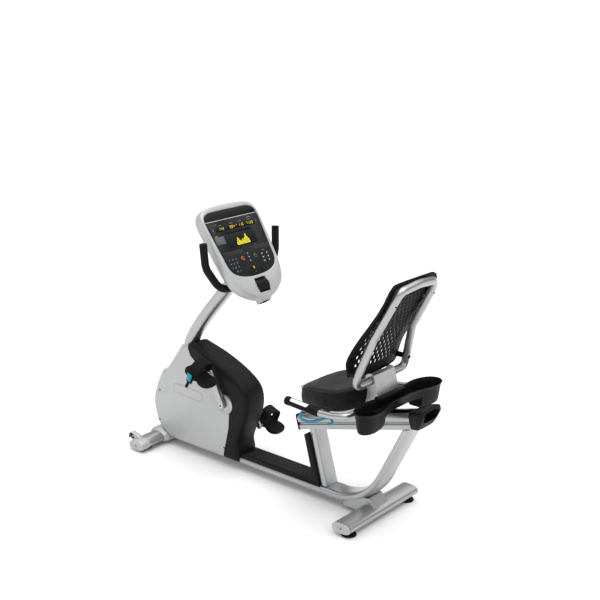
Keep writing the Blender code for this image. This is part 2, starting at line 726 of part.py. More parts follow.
def make_flywheel(mat, belt_mat):
    x, z = FLYWHEEL
    profile = [
        (0.0100, -0.058), (0.0100, -0.050), (0.022, -0.050), (0.030, -0.044),
        (FLYWHEEL_RADIUS - 0.026, -0.044), (FLYWHEEL_RADIUS - 0.022, -0.050),
        (FLYWHEEL_RADIUS, -0.050), (FLYWHEEL_RADIUS, -0.016), (FLYWHEEL_RADIUS - 0.022, -0.016),
        (FLYWHEEL_RADIUS - 0.026, -0.022),
        (0.030, -0.022), (0.0100, -0.012), (0.0100, BELT_Y - 0.009),
        (FLYWHEEL_PULLEY_RADIUS + 0.002, BELT_Y - 0.008),
        (FLYWHEEL_PULLEY_RADIUS, BELT_Y - BELT_HALF - 0.001),
        (FLYWHEEL_PULLEY_RADIUS, BELT_Y + BELT_HALF + 0.001),
        (FLYWHEEL_PULLEY_RADIUS + 0.002, BELT_Y + 0.008), (0.0100, BELT_Y + 0.010), (0.0100, BELT_Y + 0.014),
    ]
    add("flywheel", round_y(FLYWHEEL, profile, 32), mat, origin=(x, 0.0, z))
    add("drive_belt", belt_loop(), belt_mat)


def belt_loop():
    """An endless belt round the two pulleys."""
    big, small = Vector(CRANK), Vector(FLYWHEEL)
    span = small - big
    heading = math.atan2(span.y, span.x)
    rings = []
    for offset, y in ((GAP, BELT_Y - BELT_HALF), (GAP, BELT_Y + BELT_HALF),
                      (GAP + BELT_THICK, BELT_Y + BELT_HALF), (GAP + BELT_THICK, BELT_Y - BELT_HALF)):
        r1, r2 = DRIVE_PULLEY_RADIUS + offset, FLYWHEEL_PULLEY_RADIUS + offset
        lean = math.acos((r1 - r2) / span.length)
        points = []
        for centre, radius, start, end, steps in (
            (big, r1, heading + lean, heading + math.tau - lean, 30),
            (small, r2, heading - lean, heading + lean, 10),
        ):
            for k in range(steps + 1):
                a = start + (end - start) * k / steps
                points.append(Vector((centre.x + radius * math.cos(a), y, centre.y + radius * math.sin(a))))
        rings.append(points)
    return skin(rings, closed=True)


def make_crank_arms(mat, sole, strap_mat, blue):
    """Each side: the arm, its pedal on the arm's spindle, the strap and the strap's blue release."""
    x, z = CRANK
    for side, sign in sides():
        angle = CRANK_ANGLE if sign < 0 else CRANK_ANGLE + math.pi
        end = (x - CRANK_LENGTH * math.sin(angle), z + CRANK_LENGTH * math.cos(angle))
        heading = math.degrees(math.atan2(end[1] - z, end[0] - x))
        outline = [*arc(CRANK, 0.0200, heading + 100, heading + 260, 8),
                   *arc(end, 0.0135, heading - 80, heading + 80, 6)]
        low, high = sorted((sign * (CRANK_ARM_Y - CRANK_ARM_HALF), sign * (CRANK_ARM_Y + CRANK_ARM_HALF)))
        arm = add("crank_arm_" + side, prism(outline, "XZ", low, high), mat,
                  origin=(x, sign * CRANK_ARM_Y, z))
        bevel(arm, 0.0025, 2)
        low, high = sorted((sign * (CRANK_ARM_Y + 0.004), sign * 0.222))
        spindle = cutter("spindle_" + side, round_y(end, [(0.0070, low), (0.0070, high)], 14))
        boolean(arm, spindle, "UNION")
        low, high = sorted((sign * 0.08, sign * 0.115))
        boolean(arm, cutter("arm_bore_" + side, round_y(CRANK, [(0.0104, low), (0.0104, high)], 16)))
        make_pedal(side, sign, end, sole, strap_mat, blue)


def pedal_outline():
    """Half of the sole's outline, toe to heel, as (along, out from the middle)."""
    return smooth([
        (-0.086, 0.000), (-0.083, 0.026), (-0.066, 0.046), (-0.036, 0.050), (-0.010, 0.043), (0.016, 0.043),
        (0.042, 0.052), (0.070, 0.049), (0.088, 0.028), (0.092, 0.000),
    ], 2)


def make_pedal(side, sign, spindle, sole, strap_mat, blue):
    """The pedal hangs with its heel low. Along runs from toe to heel, and the sole's top faces the rider."""
    place = rotation_y(-PEDAL_TILT, Vector((spindle[0], sign * PEDAL_Y, spindle[1])))
    origin = place.translation
    half = [tuple(p) for p in pedal_outline()]
    outline = half + [(a, -b) for a, b in reversed(half[1:-1])]
    rings = []
    for z, shrink in ((-0.013, 0.80), (-0.006, 0.97), (0.006, 1.0), (0.0125, 0.95)):
        rings.append([Vector((a * shrink, b * shrink, z)) for a, b in outline])
    pedal = add("pedal_" + side, skin(rings), sole, place, origin)
    mirror = place if sign > 0 else place @ Matrix.Scale(-1, 4, (0, 1, 0))
    boolean(pedal, cutter("strap_lug_" + side, box((-0.030, 0.044, -0.010), (0.006, 0.058, 0.004)),
                          mirror), "UNION")
    bore = round_y(spindle, [(0.0074, sign * 0.10), (0.0074, sign * 0.226)], 14)
    boolean(pedal, cutter("pedal_bore_" + side, bore))

    inner = smooth([(-0.046, 0.016), (-0.052, 0.050), (-0.034, 0.078), (0.004, 0.086), (0.038, 0.070),
                    (0.056, 0.040), (0.0605, -0.024)], 3)
    outer_side = []
    count = len(inner)
    for i, p in enumerate(inner):
        before, after = inner[max(i - 1, 0)], inner[min(i + 1, count - 1)]
        along = (after - before).normalized()
        outer_side.append(p + Vector((-along.y, along.x)) * 0.003)
    loop = [tuple(p) for p in inner] + [tuple(p) for p in reversed(outer_side)]
    add("pedal_strap_" + side, prism(loop, "YZ", -0.030, 0.008), strap_mat, mirror, origin)
    buckle = [(0.0648, -0.012), (0.0700, -0.010), (0.0745, 0.004), (0.0720, 0.022), (0.0655, 0.026),
              (0.0640, 0.010)]
    pivot = mirror @ Vector((-0.011, 0.068, -0.006))
    add("strap_buckle_" + side, prism(buckle, "YZ", -0.023, 0.001), blue, mirror, pivot)


# ---------------------------------------------------------------- console
def console_outline():
    """The console's outline on its face as (across, up), anticlockwise seen from the rider."""
    half = smooth([
        (0.0, 0.180), (0.080, 0.178), (0.145, 0.170), (0.183, 0.146), (0.197, 0.100), (0.196, 0.000),
        (0.190, -0.110),
        (0.180, -0.190), (0.157, -0.250), (0.118, -0.290), (0.060, -0.322), (0.0, -0.333),
    ], 2)
    return mirrored(half)


def panel_outline():
    half = smooth([
        (0.0, 0.149), (0.070, 0.148), (0.128, 0.146), (0.166, 0.132), (0.180, 0.100), (0.175, 0.000),
        (0.167, -0.090),
        (0.164, -0.135), (0.146, -0.172), (0.108, -0.195), (0.055, -0.207), (0.0, -0.210),
    ], 2)
    return mirrored(half)


def mirrored(half):
    """A half outline from top to bottom on the +Y side, closed by its mirror image."""
    half = [tuple(p) for p in half]
    return half + [(-a, b) for a, b in reversed(half[1:-1])]


def face_ring(outline, out, shrink=0.0):
    """The outline laid on the console's face at a distance out, and pulled in towards its middle."""
    middle = -0.08
    ring = []
    for a, b in outline:
        length = math.hypot(a, b - middle)
        keep = 1 - shrink / length
        ring.append(on_face(out, a * keep, middle + (b - middle) * keep))
    return ring


def make_console(grey, black, dark, key_mats):
    outer, panel = console_outline(), panel_outline()
    rings = [
        face_ring(outer, -0.032), face_ring(outer, -0.014), face_ring(outer, -0.002, 0.003),
        face_ring(outer, 0.004, 0.012),
        face_ring(panel, 0.004, -0.004), face_ring(panel, 0.001), face_ring(panel, -0.010),
        face_ring(outer, -0.026, 0.006), face_ring(outer, -0.032, 0.004),
    ]
    bezel = add("console_bezel", skin(rings, closed=True), grey)
    lever_slot = box((-0.060, -0.040, -0.300), (0.030, 0.040, -0.2235))
    boolean(bezel, cutter("lever_slot", lever_slot, FACE))

    back = [
        face_ring(outer, -0.032 - GAP), face_ring(outer, -0.050, 0.006), face_ring(outer, -0.066, 0.026),
        face_ring(outer, -CONSOLE_DEPTH, 0.060),
    ]
    hollow = [
        face_ring(outer, -CONSOLE_DEPTH + 0.004, 0.062), face_ring(outer, -0.062, 0.030),
        face_ring(outer, -0.048, 0.010), face_ring(outer, -0.032 - GAP, 0.004),
    ]
    bm = bmesh.new()
    rows = [[bm.verts.new(p) for p in ring] for ring in back[::-1] + hollow[::-1]]
    count = len(rows[0])
    for lower, upper in zip(rows, rows[1:]):
        for i in range(count):
            j = (i + 1) % count
            bm.faces.new((lower[i], lower[j], upper[j], upper[i]))
    bm.faces.new(rows[0])
    bm.faces.new(rows[-1])
    add("console_back", bm, grey)

    plate = [face_ring(panel, -0.009, GAP), face_ring(panel, 0.0, GAP), face_ring(panel, 0.0012, 0.002)]
    face = add("console_panel", skin(plate), black)
    for name, across, mat in key_mats:
        hole = turned_on_face(across, -0.112, [(0.0120, -0.006), (0.0120, 0.010)], 20)
        boolean(face, cutter(name + "_well", hole))
        cap = [(0.0100, -0.0020), (0.0114, -0.0010), (0.0114, 0.0022), (0.0095, 0.0034)]
        key = turned_on_face(across, -0.112, cap, 20)
        add(name, key, mat, origin=on_face(0.0, across, -0.112))

    profile = [*arc((-0.022, -0.2625), 0.036, 80, -80, 8), (-0.040, -0.2960), (-0.040, -0.2290)]
    pivot = on_face(-0.022, 0, -0.2625)
    paddle = add("resistance_lever", prism(profile, "XZ", -0.0385, 0.0385), dark, FACE, pivot)
    bevel(paddle, 0.003, 2)
    port = box((-0.052, -0.024, -0.3475), (-0.020, 0.024, -0.3338))
    module = add("accessory_port", port, dark, FACE)
    bevel(module, 0.003, 1)
    boolean(module, cutter("port_socket", box((-0.024, -0.015, -0.3445), (0.0, 0.015, -0.3368)), FACE))


def turned_on_face(across, up, profile, segments):
    """A turned solid whose axis stands on the console's face."""
    rings = []
    for radius, out in profile:
        rings.append([
            on_face(out, across + radius * math.cos(a), up + radius * math.sin(a))
            for a in (math.tau * i / segments for i in range(segments))
        ])
    return skin(rings)


def make_console_handle(mat):
    corners = [(-0.262, -0.255, 1.240), (-0.256, -0.248, 1.120), (-0.231, -0.175, 1.000),
               (-0.231, 0.175, 1.000), (-0.256, 0.248, 1.120), (-0.262, 0.255, 1.240)]
    tube("console_handle", rounded(corners, 0.105, 6), TUBE, mat, 4)


# ---------------------------------------------------------------- seat
def arm_outline():
    """Side plate of the seat carriage in XZ."""
    def on_top(x):
        return rail_under(x) + (RAIL_TOP + 0.0045) / math.cos(RAIL_TILT)
    return [
        (0.640, on_top(0.640)), (0.639, 0.652), (0.613, 0.742), (0.596, 0.750), (0.572, 0.742),
        (0.566, 0.712), (0.580, 0.668),
        (0.574, 0.628), (0.5675, 0.600), (0.5605, 0.5824), (0.420, 0.5564), (0.400, 0.541),
        (0.400, on_top(0.400)),
    ]


def make_carriage(mat):
    """Two side plates, the floor over the rail, and the back plate that holds the seat-back tube."""
    outline = arm_outline()
    carriage = add("seat_carriage", prism(outline, "XZ", -0.079, 0.079), mat)
    room = [(0.634, 0.60), (0.634, 0.652), (0.610, 0.736), (0.55, 0.80), (0.30, 0.62), (0.30, 0.50),
            (0.410, 0.515), (0.560, 0.556), (0.634, 0.576)]
    boolean(carriage, cutter("carriage_room", prism(room, "XZ", -0.074, 0.074)))
    back_bore = round_y((0.592, 0.7125), [(TUBE + 0.0006, -0.1), (TUBE + 0.0006, 0.1)], 24)
    boolean(carriage, cutter("back_tube_bore", back_bore))
    side_bore = round_y((0.604, 0.602), [(SIDE_TUBE + 0.0006, -0.1), (SIDE_TUBE + 0.0006, 0.1)], 20)
    boolean(carriage, cutter("side_tube_bore", side_bore))
    for name, x in ROLLER_PLACES:
        stem = box((x - 0.012, -0.0085, RAIL_FLOOR + 0.0035), (x + 0.012, 0.0085, RAIL_TOP + 0.008))
        boolean(carriage, cutter(name + "_stem", stem, RAIL), "UNION")
        bore = cylinder_on_rail(x, ROLLER_Z, 0.0048, 0.02, 12)
        boolean(carriage, cutter(name + "_bore", bore))
    for side, sign in sides():
        low, high = sorted((sign * 0.0670, sign * 0.0785))
        outline = prism([(0.356, 0.486), (0.405, 0.4955), (0.405, 0.520), (0.372, 0.520)], "XZ", low, high)
        boolean(carriage, cutter("handle_lug_" + side, outline), "UNION")


def area(outline):
    return sum(a[0] * b[1] - b[0] * a[1] for a, b in zip(outline, outline[1:] + outline[:1])) / 2


ROLLER_RADIUS = 0.0135
ROLLER_Z = RAIL_FLOOR + GAP + ROLLER_RADIUS
ROLLER_PLACES = (("front_rollers", 0.300), ("rear_rollers", 0.500))


def cylinder_on_rail(x, z, radius, half, segments):
    rings = []
    for y in (-half, half):
        rings.append([
            on_rail(x + radius * math.cos(a), y, z + radius * math.sin(a))
            for a in (math.tau * i / segments for i in range(segments))
        ])
    return skin(rings)


def make_rollers(mat):
    for name, x in ROLLER_PLACES:
        rings = []
        for radius, y in ((ROLLER_RADIUS, -0.0255), (ROLLER_RADIUS, -0.0100), (0.0042, -0.0100),
                          (0.0042, 0.0100), (ROLLER_RADIUS, 0.0100), (ROLLER_RADIUS, 0.0255)):
            rings.append([
                on_rail(x + radius * math.cos(a), y, ROLLER_Z + radius * math.sin(a))
                for a in (math.tau * i / 20 for i in range(20))
            ])
        add(name, skin(rings), mat, origin=on_rail(x, 0, ROLLER_Z))


def make_lock_shoe(mat):
    shoe = box((0.380, -0.020, RAIL_FLOOR + 0.0006), (0.420, 0.020, RAIL_FLOOR + 0.022))
    add("lock_shoe", shoe, mat, RAIL, origin=on_rail(0.400, 0, RAIL_FLOOR))


SEAT_FRONT = Vector((0.165, 0.0, 0.524))     # front of the cushion's underside


def seat_plan(shrink=0.0):
    """The cushion's plan as (along, across), anticlockwise: narrow at the thighs and wide at the hips."""
    half = smooth([
        (0.012, 0.000), (0.020, 0.060), (0.055, 0.116), (0.120, 0.162), (0.210, 0.194), (0.290, 0.206),
        (0.350, 0.200), (0.390, 0.165), (0.403, 0.110), (0.405, 0.060), (0.405, 0.000),
    ], 2)
    half = [tuple(p) for p in half]
    middle = 0.23
    plan = half + [(a, -b) for a, b in reversed(half[1:-1])]
    found = []
    for a, b in plan:
        length = math.hypot(a - middle, b)
        keep = 1 - shrink / length
        found.append((middle + (a - middle) * keep, b * keep))
    return found


def make_seat(pan_mat, cushion_mat):
    place = rotation_y(SEAT_TILT, SEAT_FRONT)
    levels = ((-0.014, 0.030), (-0.006, 0.014), (-GAP, 0.012))
    rings = [[Vector((a, b, z)) for a, b in seat_plan(shrink)] for z, shrink in levels]
    add("seat_pan", skin(rings), pan_mat, place)
    rings = []
    for z, shrink in ((0.0, 0.012), (0.012, 0.001), (0.070, 0.0), (0.081, 0.006), (0.086, 0.022)):
        ring = []
        for a, b in seat_plan(shrink):
            nose = max(0.0, 1 - a / 0.150) ** 2 * z / 0.086
            ring.append(Vector((a + 0.024 * nose, b, z - 0.030 * nose)))
        rings.append(ring)
    add("seat_cushion", skin(rings), cushion_mat, place)


def back_side(z):
    """(x, half width) of the seat-back tube's side at a height, from straight runs between bends."""
    points = ((0.7125, 0.592, 0.180), (0.770, 0.6090, 0.178), (0.819, 0.6240, 0.164),
              (0.935, 0.6570, 0.149), (1.115, 0.7550, 0.142), (1.185, 0.7820, 0.138))
    for (z0, x0, w0), (z1, x1, w1) in zip(points, points[1:]):
        if z <= z1:
            t = (z - z0) / (z1 - z0)
            return x0 + (x1 - x0) * t, w0 + (w1 - w0) * t
    return points[-1][1], points[-1][2]


def back_frame_route():
    """The seat-back tube: a closed loop, kinked back at half height, with an arched top."""
    half = [(0.592, 0.0, 0.7125), (0.592, 0.185, 0.7125), (0.612, 0.178, 0.790),
            (0.657, 0.149, 0.935), (0.755, 0.143, 1.115),
            (0.780, 0.128, 1.170), (0.786, 0.0, 1.183)]
    corners = half + [(x, -y, z) for x, y, z in reversed(half[1:-1])]
    route = []
    count = len(corners)
    radii = {1: 0.055, 2: 0.08, 3: 0.10, 4: 0.09, 5: 0.075, 6: 0.3}
    for i, c in enumerate(corners):
        here, before, after = Vector(c), Vector(corners[i - 1]), Vector(corners[(i + 1) % count])
        radius = radii.get(i if i <= 6 else count - i, 0.0)
        if radius == 0.0:
            route.append(here)
            continue
        to_before, to_after = (before - here).normalized(), (after - here).normalized()
        turn = math.pi - to_before.angle(to_after)
        reach = min(radius * math.tan(turn / 2), 0.45 * (before - here).length, 0.45 * (after - here).length)
        first, last = here + to_before * reach, here + to_after * reach
        for k in range(5):
            t = k / 4
            route.append(first * (1 - t) ** 2 + here * 2 * t * (1 - t) + last * t ** 2)
    return route


def make_seat_back(tube_mat, shell_mat):
    add("back_frame", tube_mesh(back_frame_route(), TUBE, 12, closed=True), tube_mat)
    thick = 0.006
    rings = []
    for z, half, wrap, stand in (
        (0.742, 0.166, 0.020, 0.026), (0.770, 0.188, 0.034, 0.024), (0.820, 0.203, 0.044, 0.024),
        (0.870, 0.205, 0.036, 0.023),
        (0.940, 0.201, 0.016, 0.022), (1.020, 0.193, 0.006, 0.022), (1.100, 0.187, 0.000, 0.022),
        (1.150, 0.182, -0.004, 0.024),
        (1.182, 0.172, -0.006, 0.026), (1.199, 0.148, -0.004, 0.027),
    ):
        tube_x = back_side(z)[0]
        front, back = [], []
        for k in range(9):
            share = -1 + 2 * k / 8
            x = tube_x - stand - wrap * abs(share) ** 2.2
            front.append(Vector((x - thick, share * half, z)))
            back.append(Vector((x, share * half, z)))
        rings.append(front + back[::-1])
    shell = add("back_shell", skin(rings), shell_mat)
    for name, z, reach in (("low", 0.800, 0.062), ("high", 1.110, 0.026)):
        x, half = back_side(z)
        for side, sign in sides():
            boss = box((x - reach, sign * half - 0.012, z - 0.012), (x, sign * half + 0.012, z + 0.012))
            boolean(shell, cutter("boss_" + name + "_" + side, boss), "UNION")
    clearance = tube_mesh(back_frame_route(), TUBE + GAP, 12, closed=True)
    boolean(shell, cutter("back_tube_clearance", clearance))


def side_bar_route():
    half = [(0.604, 0.0, 0.602), (0.604, 0.170, 0.602), (0.590, 0.252, 0.594), (0.520, 0.256, 0.582),
            (0.4455, 0.256, 0.578)]
    corners = [(x, -y, z) for x, y, z in reversed(half[1:])] + half[1:]
    return corners


def make_side_bar(tube_mat, grip_mat):
    points = rounded(side_bar_route(), 0.075, 5)
    tube("side_handlebar", points, SIDE_TUBE, tube_mat, 3)
    for side, sign in sides():
        start = Vector((0.444 - GAP, sign * 0.256, 0.578))
        front = Vector((0.252, sign * 0.256, 0.590))
        along = (front - start).normalized()
        across = Vector((0, 1, 0))
        up = across.cross(along)
        rings = []
        for t, radius in ((0.0, 0.0165), (0.002, GRIP), (0.165, GRIP), (0.170, 0.0215), (0.184, 0.0215),
                          (0.192, 0.016)):
            centre = start + along * t
            rings.append([
                centre + (across * math.cos(a) + up * math.sin(a)) * radius
                for a in (math.tau * i / 20 for i in range(20))
            ])
        add("side_grip_" + side, skin(rings), grip_mat)


def tray_outline(shrink=0.0):
    """The tray's rim seen from above as (x, y): two wide ends joined by a narrower middle."""
    half = smooth([
        (0.697, 0.308), (0.662, 0.286), (0.639, 0.238), (0.632, 0.185), (0.640, 0.130), (0.6475, 0.090),
        (0.6475, 0.0),
    ], 3)
    front = [tuple(p) for p in half]
    half = smooth([
        (0.721, 0.0), (0.722, 0.060), (0.732, 0.120), (0.750, 0.175), (0.754, 0.235), (0.735, 0.290),
        (0.697, 0.308),
    ], 3)
    rear = [tuple(p) for p in half]
    right = rear + front[1:]
    plan = right + [(x, -y) for x, y in reversed(right[1:-1])]
    return inset(plan, shrink)


def tray_loft(levels):
    return skin([[Vector((x, y, z)) for x, y in tray_outline(shrink)] for z, shrink in levels])


def make_tray(mat):
    """One moulding: a trough with a deep bottle well at each end, under one continuous rim."""
    bottom, floor, wall = 0.550, 0.602, 0.003
    tray = add("storage_tray", tray_loft((
        (bottom, 0.0140), (bottom + 0.008, 0.0080), (TRAY_RIM_Z - 0.006, 0.0030),
        (TRAY_RIM_Z - 0.005, 0.0), (TRAY_RIM_Z, 0.0),
    )), mat)
    boolean(tray, cutter("tray_underside", box((0.5, -0.145, 0.4), (0.9, 0.145, floor))))
    room = cutter("tray_room", tray_loft((
        (bottom + wall, 0.0175), (bottom + wall + 0.008, 0.0115), (TRAY_RIM_Z - 0.006, 0.0065),
        (TRAY_RIM_Z + 0.02, 0.0060),
    )))
    boolean(room, cutter("trough_floor", box((0.5, -0.145 - wall, 0.4), (0.9, 0.145 + wall, floor + wall))))
    boolean(tray, room)


def adjust_route():
    half = [(0.368, 0.0845, 0.446), (0.384, 0.0845, 0.456), (0.378, 0.0845, 0.474), (0.352, 0.0845, 0.474),
            (0.310, 0.086, 0.452),
            (0.250, 0.087, 0.428), (0.195, 0.080, 0.426), (0.168, 0.050, 0.440), (0.160, 0.0, 0.452)]
    near = [(x, -y, z) for x, y, z in half]
    return smooth(near + half[-2::-1], 3)


ADJUST_PIVOT = Vector((0.364, 0.0, 0.478))


def make_adjust_handle(mat):
    tube("adjust_handle", adjust_route(), 0.0052, mat, 2, origin=ADJUST_PIVOT)


def main():
    clear_scene()
    silver = material("silver_paint", (0.62, 0.62, 0.63), 0.35, 0.6)
    light = material("grey_plastic", (0.66, 0.66, 0.66), 0.45)
    black = material("black_plastic", (0.02, 0.02, 0.021), 0.5)
    panel = material("console_overlay", (0.015, 0.017, 0.018), 0.25)
    rubber = material("black_rubber", (0.012, 0.012, 0.012), 0.7)
    fabric = material("seat_vinyl", (0.025, 0.025, 0.026), 0.6)
    steel = material("bright_steel", (0.7, 0.7, 0.72), 0.25, 1.0)
    iron = material("cast_iron", (0.10, 0.10, 0.11), 0.5, 0.8)
    blue = material("blue_plastic", (0.0, 0.36, 0.60), 0.35)
    green = material("green_key", (0.02, 0.30, 0.08), 0.4)
    orange = material("orange_key", (0.75, 0.26, 0.02), 0.4)

    beam_clearance = beam_cutter()
    mast_clearance = cutter("mast_clearance", sweep(mast_path(), mast_section(GAP + 0.0006)))
    make_beam(silver)
    make_post(silver)
    make_rail(silver)
    make_rail_caps(black, beam_clearance)
    make_tread(black, beam_clearance)
    make_rear_stabilizer(silver, light, beam_clearance)
    make_levelling_feet(rubber)
    make_front_stabilizer(silver, light, rubber, rubber)
    make_shroud(light, black, mast_clearance, beam_clearance)
    make_mast(silver)
    make_drive_frame(iron)
    make_crank_set(steel, iron, silver)
    make_flywheel(iron, rubber)
    make_crank_arms(silver, rubber, rubber, blue)
    make_console(light, panel, black, (("stop_key", -0.046, orange), ("start_key", 0.041, green)))
    make_console_handle(rubber)
    make_carriage(silver)
    make_rollers(black)
    make_lock_shoe(iron)
    make_seat(black, fabric)
    make_seat_back(silver, black)
    make_side_bar(silver, rubber)
    make_tray(black)
    make_adjust_handle(blue)
    for obj in bpy.data.objects:
        obj.location += Vector((-MIDDLE, 0, -FLOOR))


main()
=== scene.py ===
"""Recumbent exercise bike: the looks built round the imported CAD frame."""
import json
import math

import bmesh
import bpy
from mathutils import Matrix, Vector


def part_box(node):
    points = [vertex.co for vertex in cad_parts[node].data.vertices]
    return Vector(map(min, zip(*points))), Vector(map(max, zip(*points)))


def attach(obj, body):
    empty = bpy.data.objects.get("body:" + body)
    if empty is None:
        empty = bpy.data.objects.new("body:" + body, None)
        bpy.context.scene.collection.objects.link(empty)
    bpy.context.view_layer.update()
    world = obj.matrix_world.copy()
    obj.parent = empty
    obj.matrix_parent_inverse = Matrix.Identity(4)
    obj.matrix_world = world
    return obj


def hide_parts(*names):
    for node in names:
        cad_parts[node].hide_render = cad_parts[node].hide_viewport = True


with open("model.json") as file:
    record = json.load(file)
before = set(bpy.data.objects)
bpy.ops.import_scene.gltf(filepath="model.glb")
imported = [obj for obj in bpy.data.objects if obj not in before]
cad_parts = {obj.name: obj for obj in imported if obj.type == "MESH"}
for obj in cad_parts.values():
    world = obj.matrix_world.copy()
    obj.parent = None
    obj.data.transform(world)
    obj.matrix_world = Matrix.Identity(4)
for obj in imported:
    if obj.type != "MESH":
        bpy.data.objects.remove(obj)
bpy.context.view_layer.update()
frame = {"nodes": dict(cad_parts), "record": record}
NODES = frame["nodes"]
SIDES = (("left", -1.0), ("right", 1.0))


# ---------------------------------------------------------------- materials

def shade(colour, share):
    return tuple(c * share for c in colour)


class Tree:
    """Short ways to add nodes to a material's or the world's node tree."""

    def __init__(self, tree, shader):
        self.tree = tree
        self.sockets = tree.nodes[shader].inputs

    def node(self, kind, **values):
        node = self.tree.nodes.new("ShaderNode" + kind)
        for socket, value in values.items():
            node.inputs[socket.replace("_", " ")].default_value = value
        return node

    def link(self, source, socket):
        self.tree.links.new(source, socket)

    def coordinates(self, kind="Object"):
        return self.node("TexCoord").outputs[kind]

    def noise(self, scale, detail=3.0, stretch=None):
        source = self.coordinates()
        if stretch:
            mapping = self.node("Mapping", Scale=stretch)
            self.link(source, mapping.inputs["Vector"])
            source = mapping.outputs["Vector"]
        tex = self.node("TexNoise", Scale=scale, Detail=detail, Roughness=0.55)
        self.link(source, tex.inputs["Vector"])
        return tex.outputs["Fac"]

    def ramp(self, fac, *stops, socket="Base Color"):
        node = self.node("ValToRGB")
        elements = node.color_ramp.elements
        while len(elements) < len(stops):
            elements.new(0.5)
        for element, (position, colour) in zip(elements, stops):
            element.position = position
            element.color = (*colour, 1.0)
        self.link(fac, node.inputs["Fac"])
        self.link(node.outputs["Color"], self.sockets[socket])

    def gloss(self, fac, low, high):
        node = self.node("MapRange", From_Min=0.3, From_Max=0.7, To_Min=low, To_Max=high)
        self.link(fac, node.inputs["Value"])
        self.link(node.outputs["Result"], self.sockets["Roughness"])

    def bump(self, height, strength, distance):
        node = self.node("Bump", Strength=strength, Distance=distance)
        self.link(height, node.inputs["Height"])
        self.link(node.outputs["Normal"], self.sockets["Normal"])


def new_look(name, colour, roughness, metallic=0.0, coat=0.0, coat_roughness=0.2, specular=0.5):
    """A material with its plain values on the shader's sockets. Returns (material, tree)."""
    mat = bpy.data.materials.new(name)
    mat.use_nodes = True
    look = Tree(mat.node_tree, "Principled BSDF")
    for socket, value in (("Base Color", (*colour, 1.0)), ("Roughness", roughness), ("Metallic", metallic),
                          ("Coat Weight", coat), ("Coat Roughness", coat_roughness),
                          ("Specular IOR Level", specular)):
        look.sockets[socket].default_value = value
    return mat, look


def moulded(name, colour, roughness, grain=900.0, depth=0.00006, spread=0.06, **extra):
    """Moulded plastic: a fine spark-eroded grain, slightly uneven gloss and a faint drift of tone."""
    mat, look = new_look(name, colour, roughness, **extra)
    look.ramp(look.noise(7.0, 4.0), (0.25, shade(colour, 1 - spread)), (0.75, shade(colour, 1 + spread)))
    look.gloss(look.noise(22.0, 5.0), roughness - 0.05, roughness + 0.06)
    look.bump(look.noise(grain, 2.0), 0.35, depth)
    return mat


def painted(name, colour, roughness, metallic):
    """Metallic powder coat: a fine sparkle in the colour and the faint orange peel of the coat."""
    mat, look = new_look(name, colour, roughness, metallic, coat=0.25, coat_roughness=0.28)
    look.ramp(look.noise(1600.0, 1.0), (0.30, shade(colour, 0.95)), (0.70, shade(colour, 1.05)))
    look.gloss(look.noise(9.0, 4.0), roughness - 0.04, roughness + 0.05)
    look.bump(look.noise(420.0, 2.0), 0.25, 0.00005)
    return mat


def machined(name, colour, roughness, stretch=(40.0, 1.0, 40.0), scale=30.0):
    """Bright metal with the fine lines of turning or drawing."""
    mat, look = new_look(name, colour, roughness, 1.0)
    lines = look.noise(scale, 3.0, stretch)
    look.ramp(lines, (0.3, shade(colour, 0.90)), (0.7, shade(colour, 1.05)))
    look.gloss(lines, roughness - 0.06, roughness + 0.08)
    look.bump(lines, 0.2, 0.00004)
    return mat


def upholstery(name, colour):
    """Matt coated fabric: a fine pebbled grain over a slight unevenness."""
    mat, look = new_look(name, colour, 0.62, specular=0.16)
    look.sockets["Sheen Weight"].default_value = 0.06
    look.sockets["Sheen Roughness"].default_value = 0.5
    cells = look.node("TexVoronoi", Scale=420.0)
    look.link(look.coordinates(), cells.inputs["Vector"])
    look.ramp(cells.outputs["Distance"], (0.0, shade(colour, 1.25)), (0.8, shade(colour, 0.70)))
    look.gloss(look.noise(14.0, 4.0), 0.55, 0.70)
    look.bump(cells.outputs["Distance"], 0.45, 0.0004)
    return mat


def woven(name, colour):
    """Stretch upholstery with a fine square knit, seen as rows of small dimples."""
    mat, look = new_look(name, colour, 0.66, specular=0.22)
    look.sockets["Sheen Weight"].default_value = 0.08
    look.sockets["Sheen Roughness"].default_value = 0.45
    knit = look.node("Math")
    knit.operation = "MULTIPLY"
    for socket, direction in zip(knit.inputs, ("X", "Y")):
        wave = look.node("TexWave", Scale=105.0, Distortion=0.35, Detail=1.0, Detail_Scale=2.0)
        wave.bands_direction = direction
        look.link(look.coordinates(), wave.inputs["Vector"])
        look.link(wave.outputs["Fac"], socket)
    look.ramp(knit.outputs["Value"], (0.05, shade(colour, 0.55)), (0.6, shade(colour, 1.45)))
    look.gloss(look.noise(16.0, 4.0), 0.60, 0.74)
    look.bump(knit.outputs["Value"], 0.5, 0.0006)
    return mat


def glowing(name, colour, strength):
    """A display's lit dot or digit, with a slightly uneven glow."""
    mat, look = new_look(name, shade(colour, 0.6), 0.5)
    look.ramp(look.noise(300.0, 1.0), (0.2, shade(colour, 0.9)), (0.8, colour), socket="Emission Color")
    look.sockets["Emission Strength"].default_value = strength
    return mat


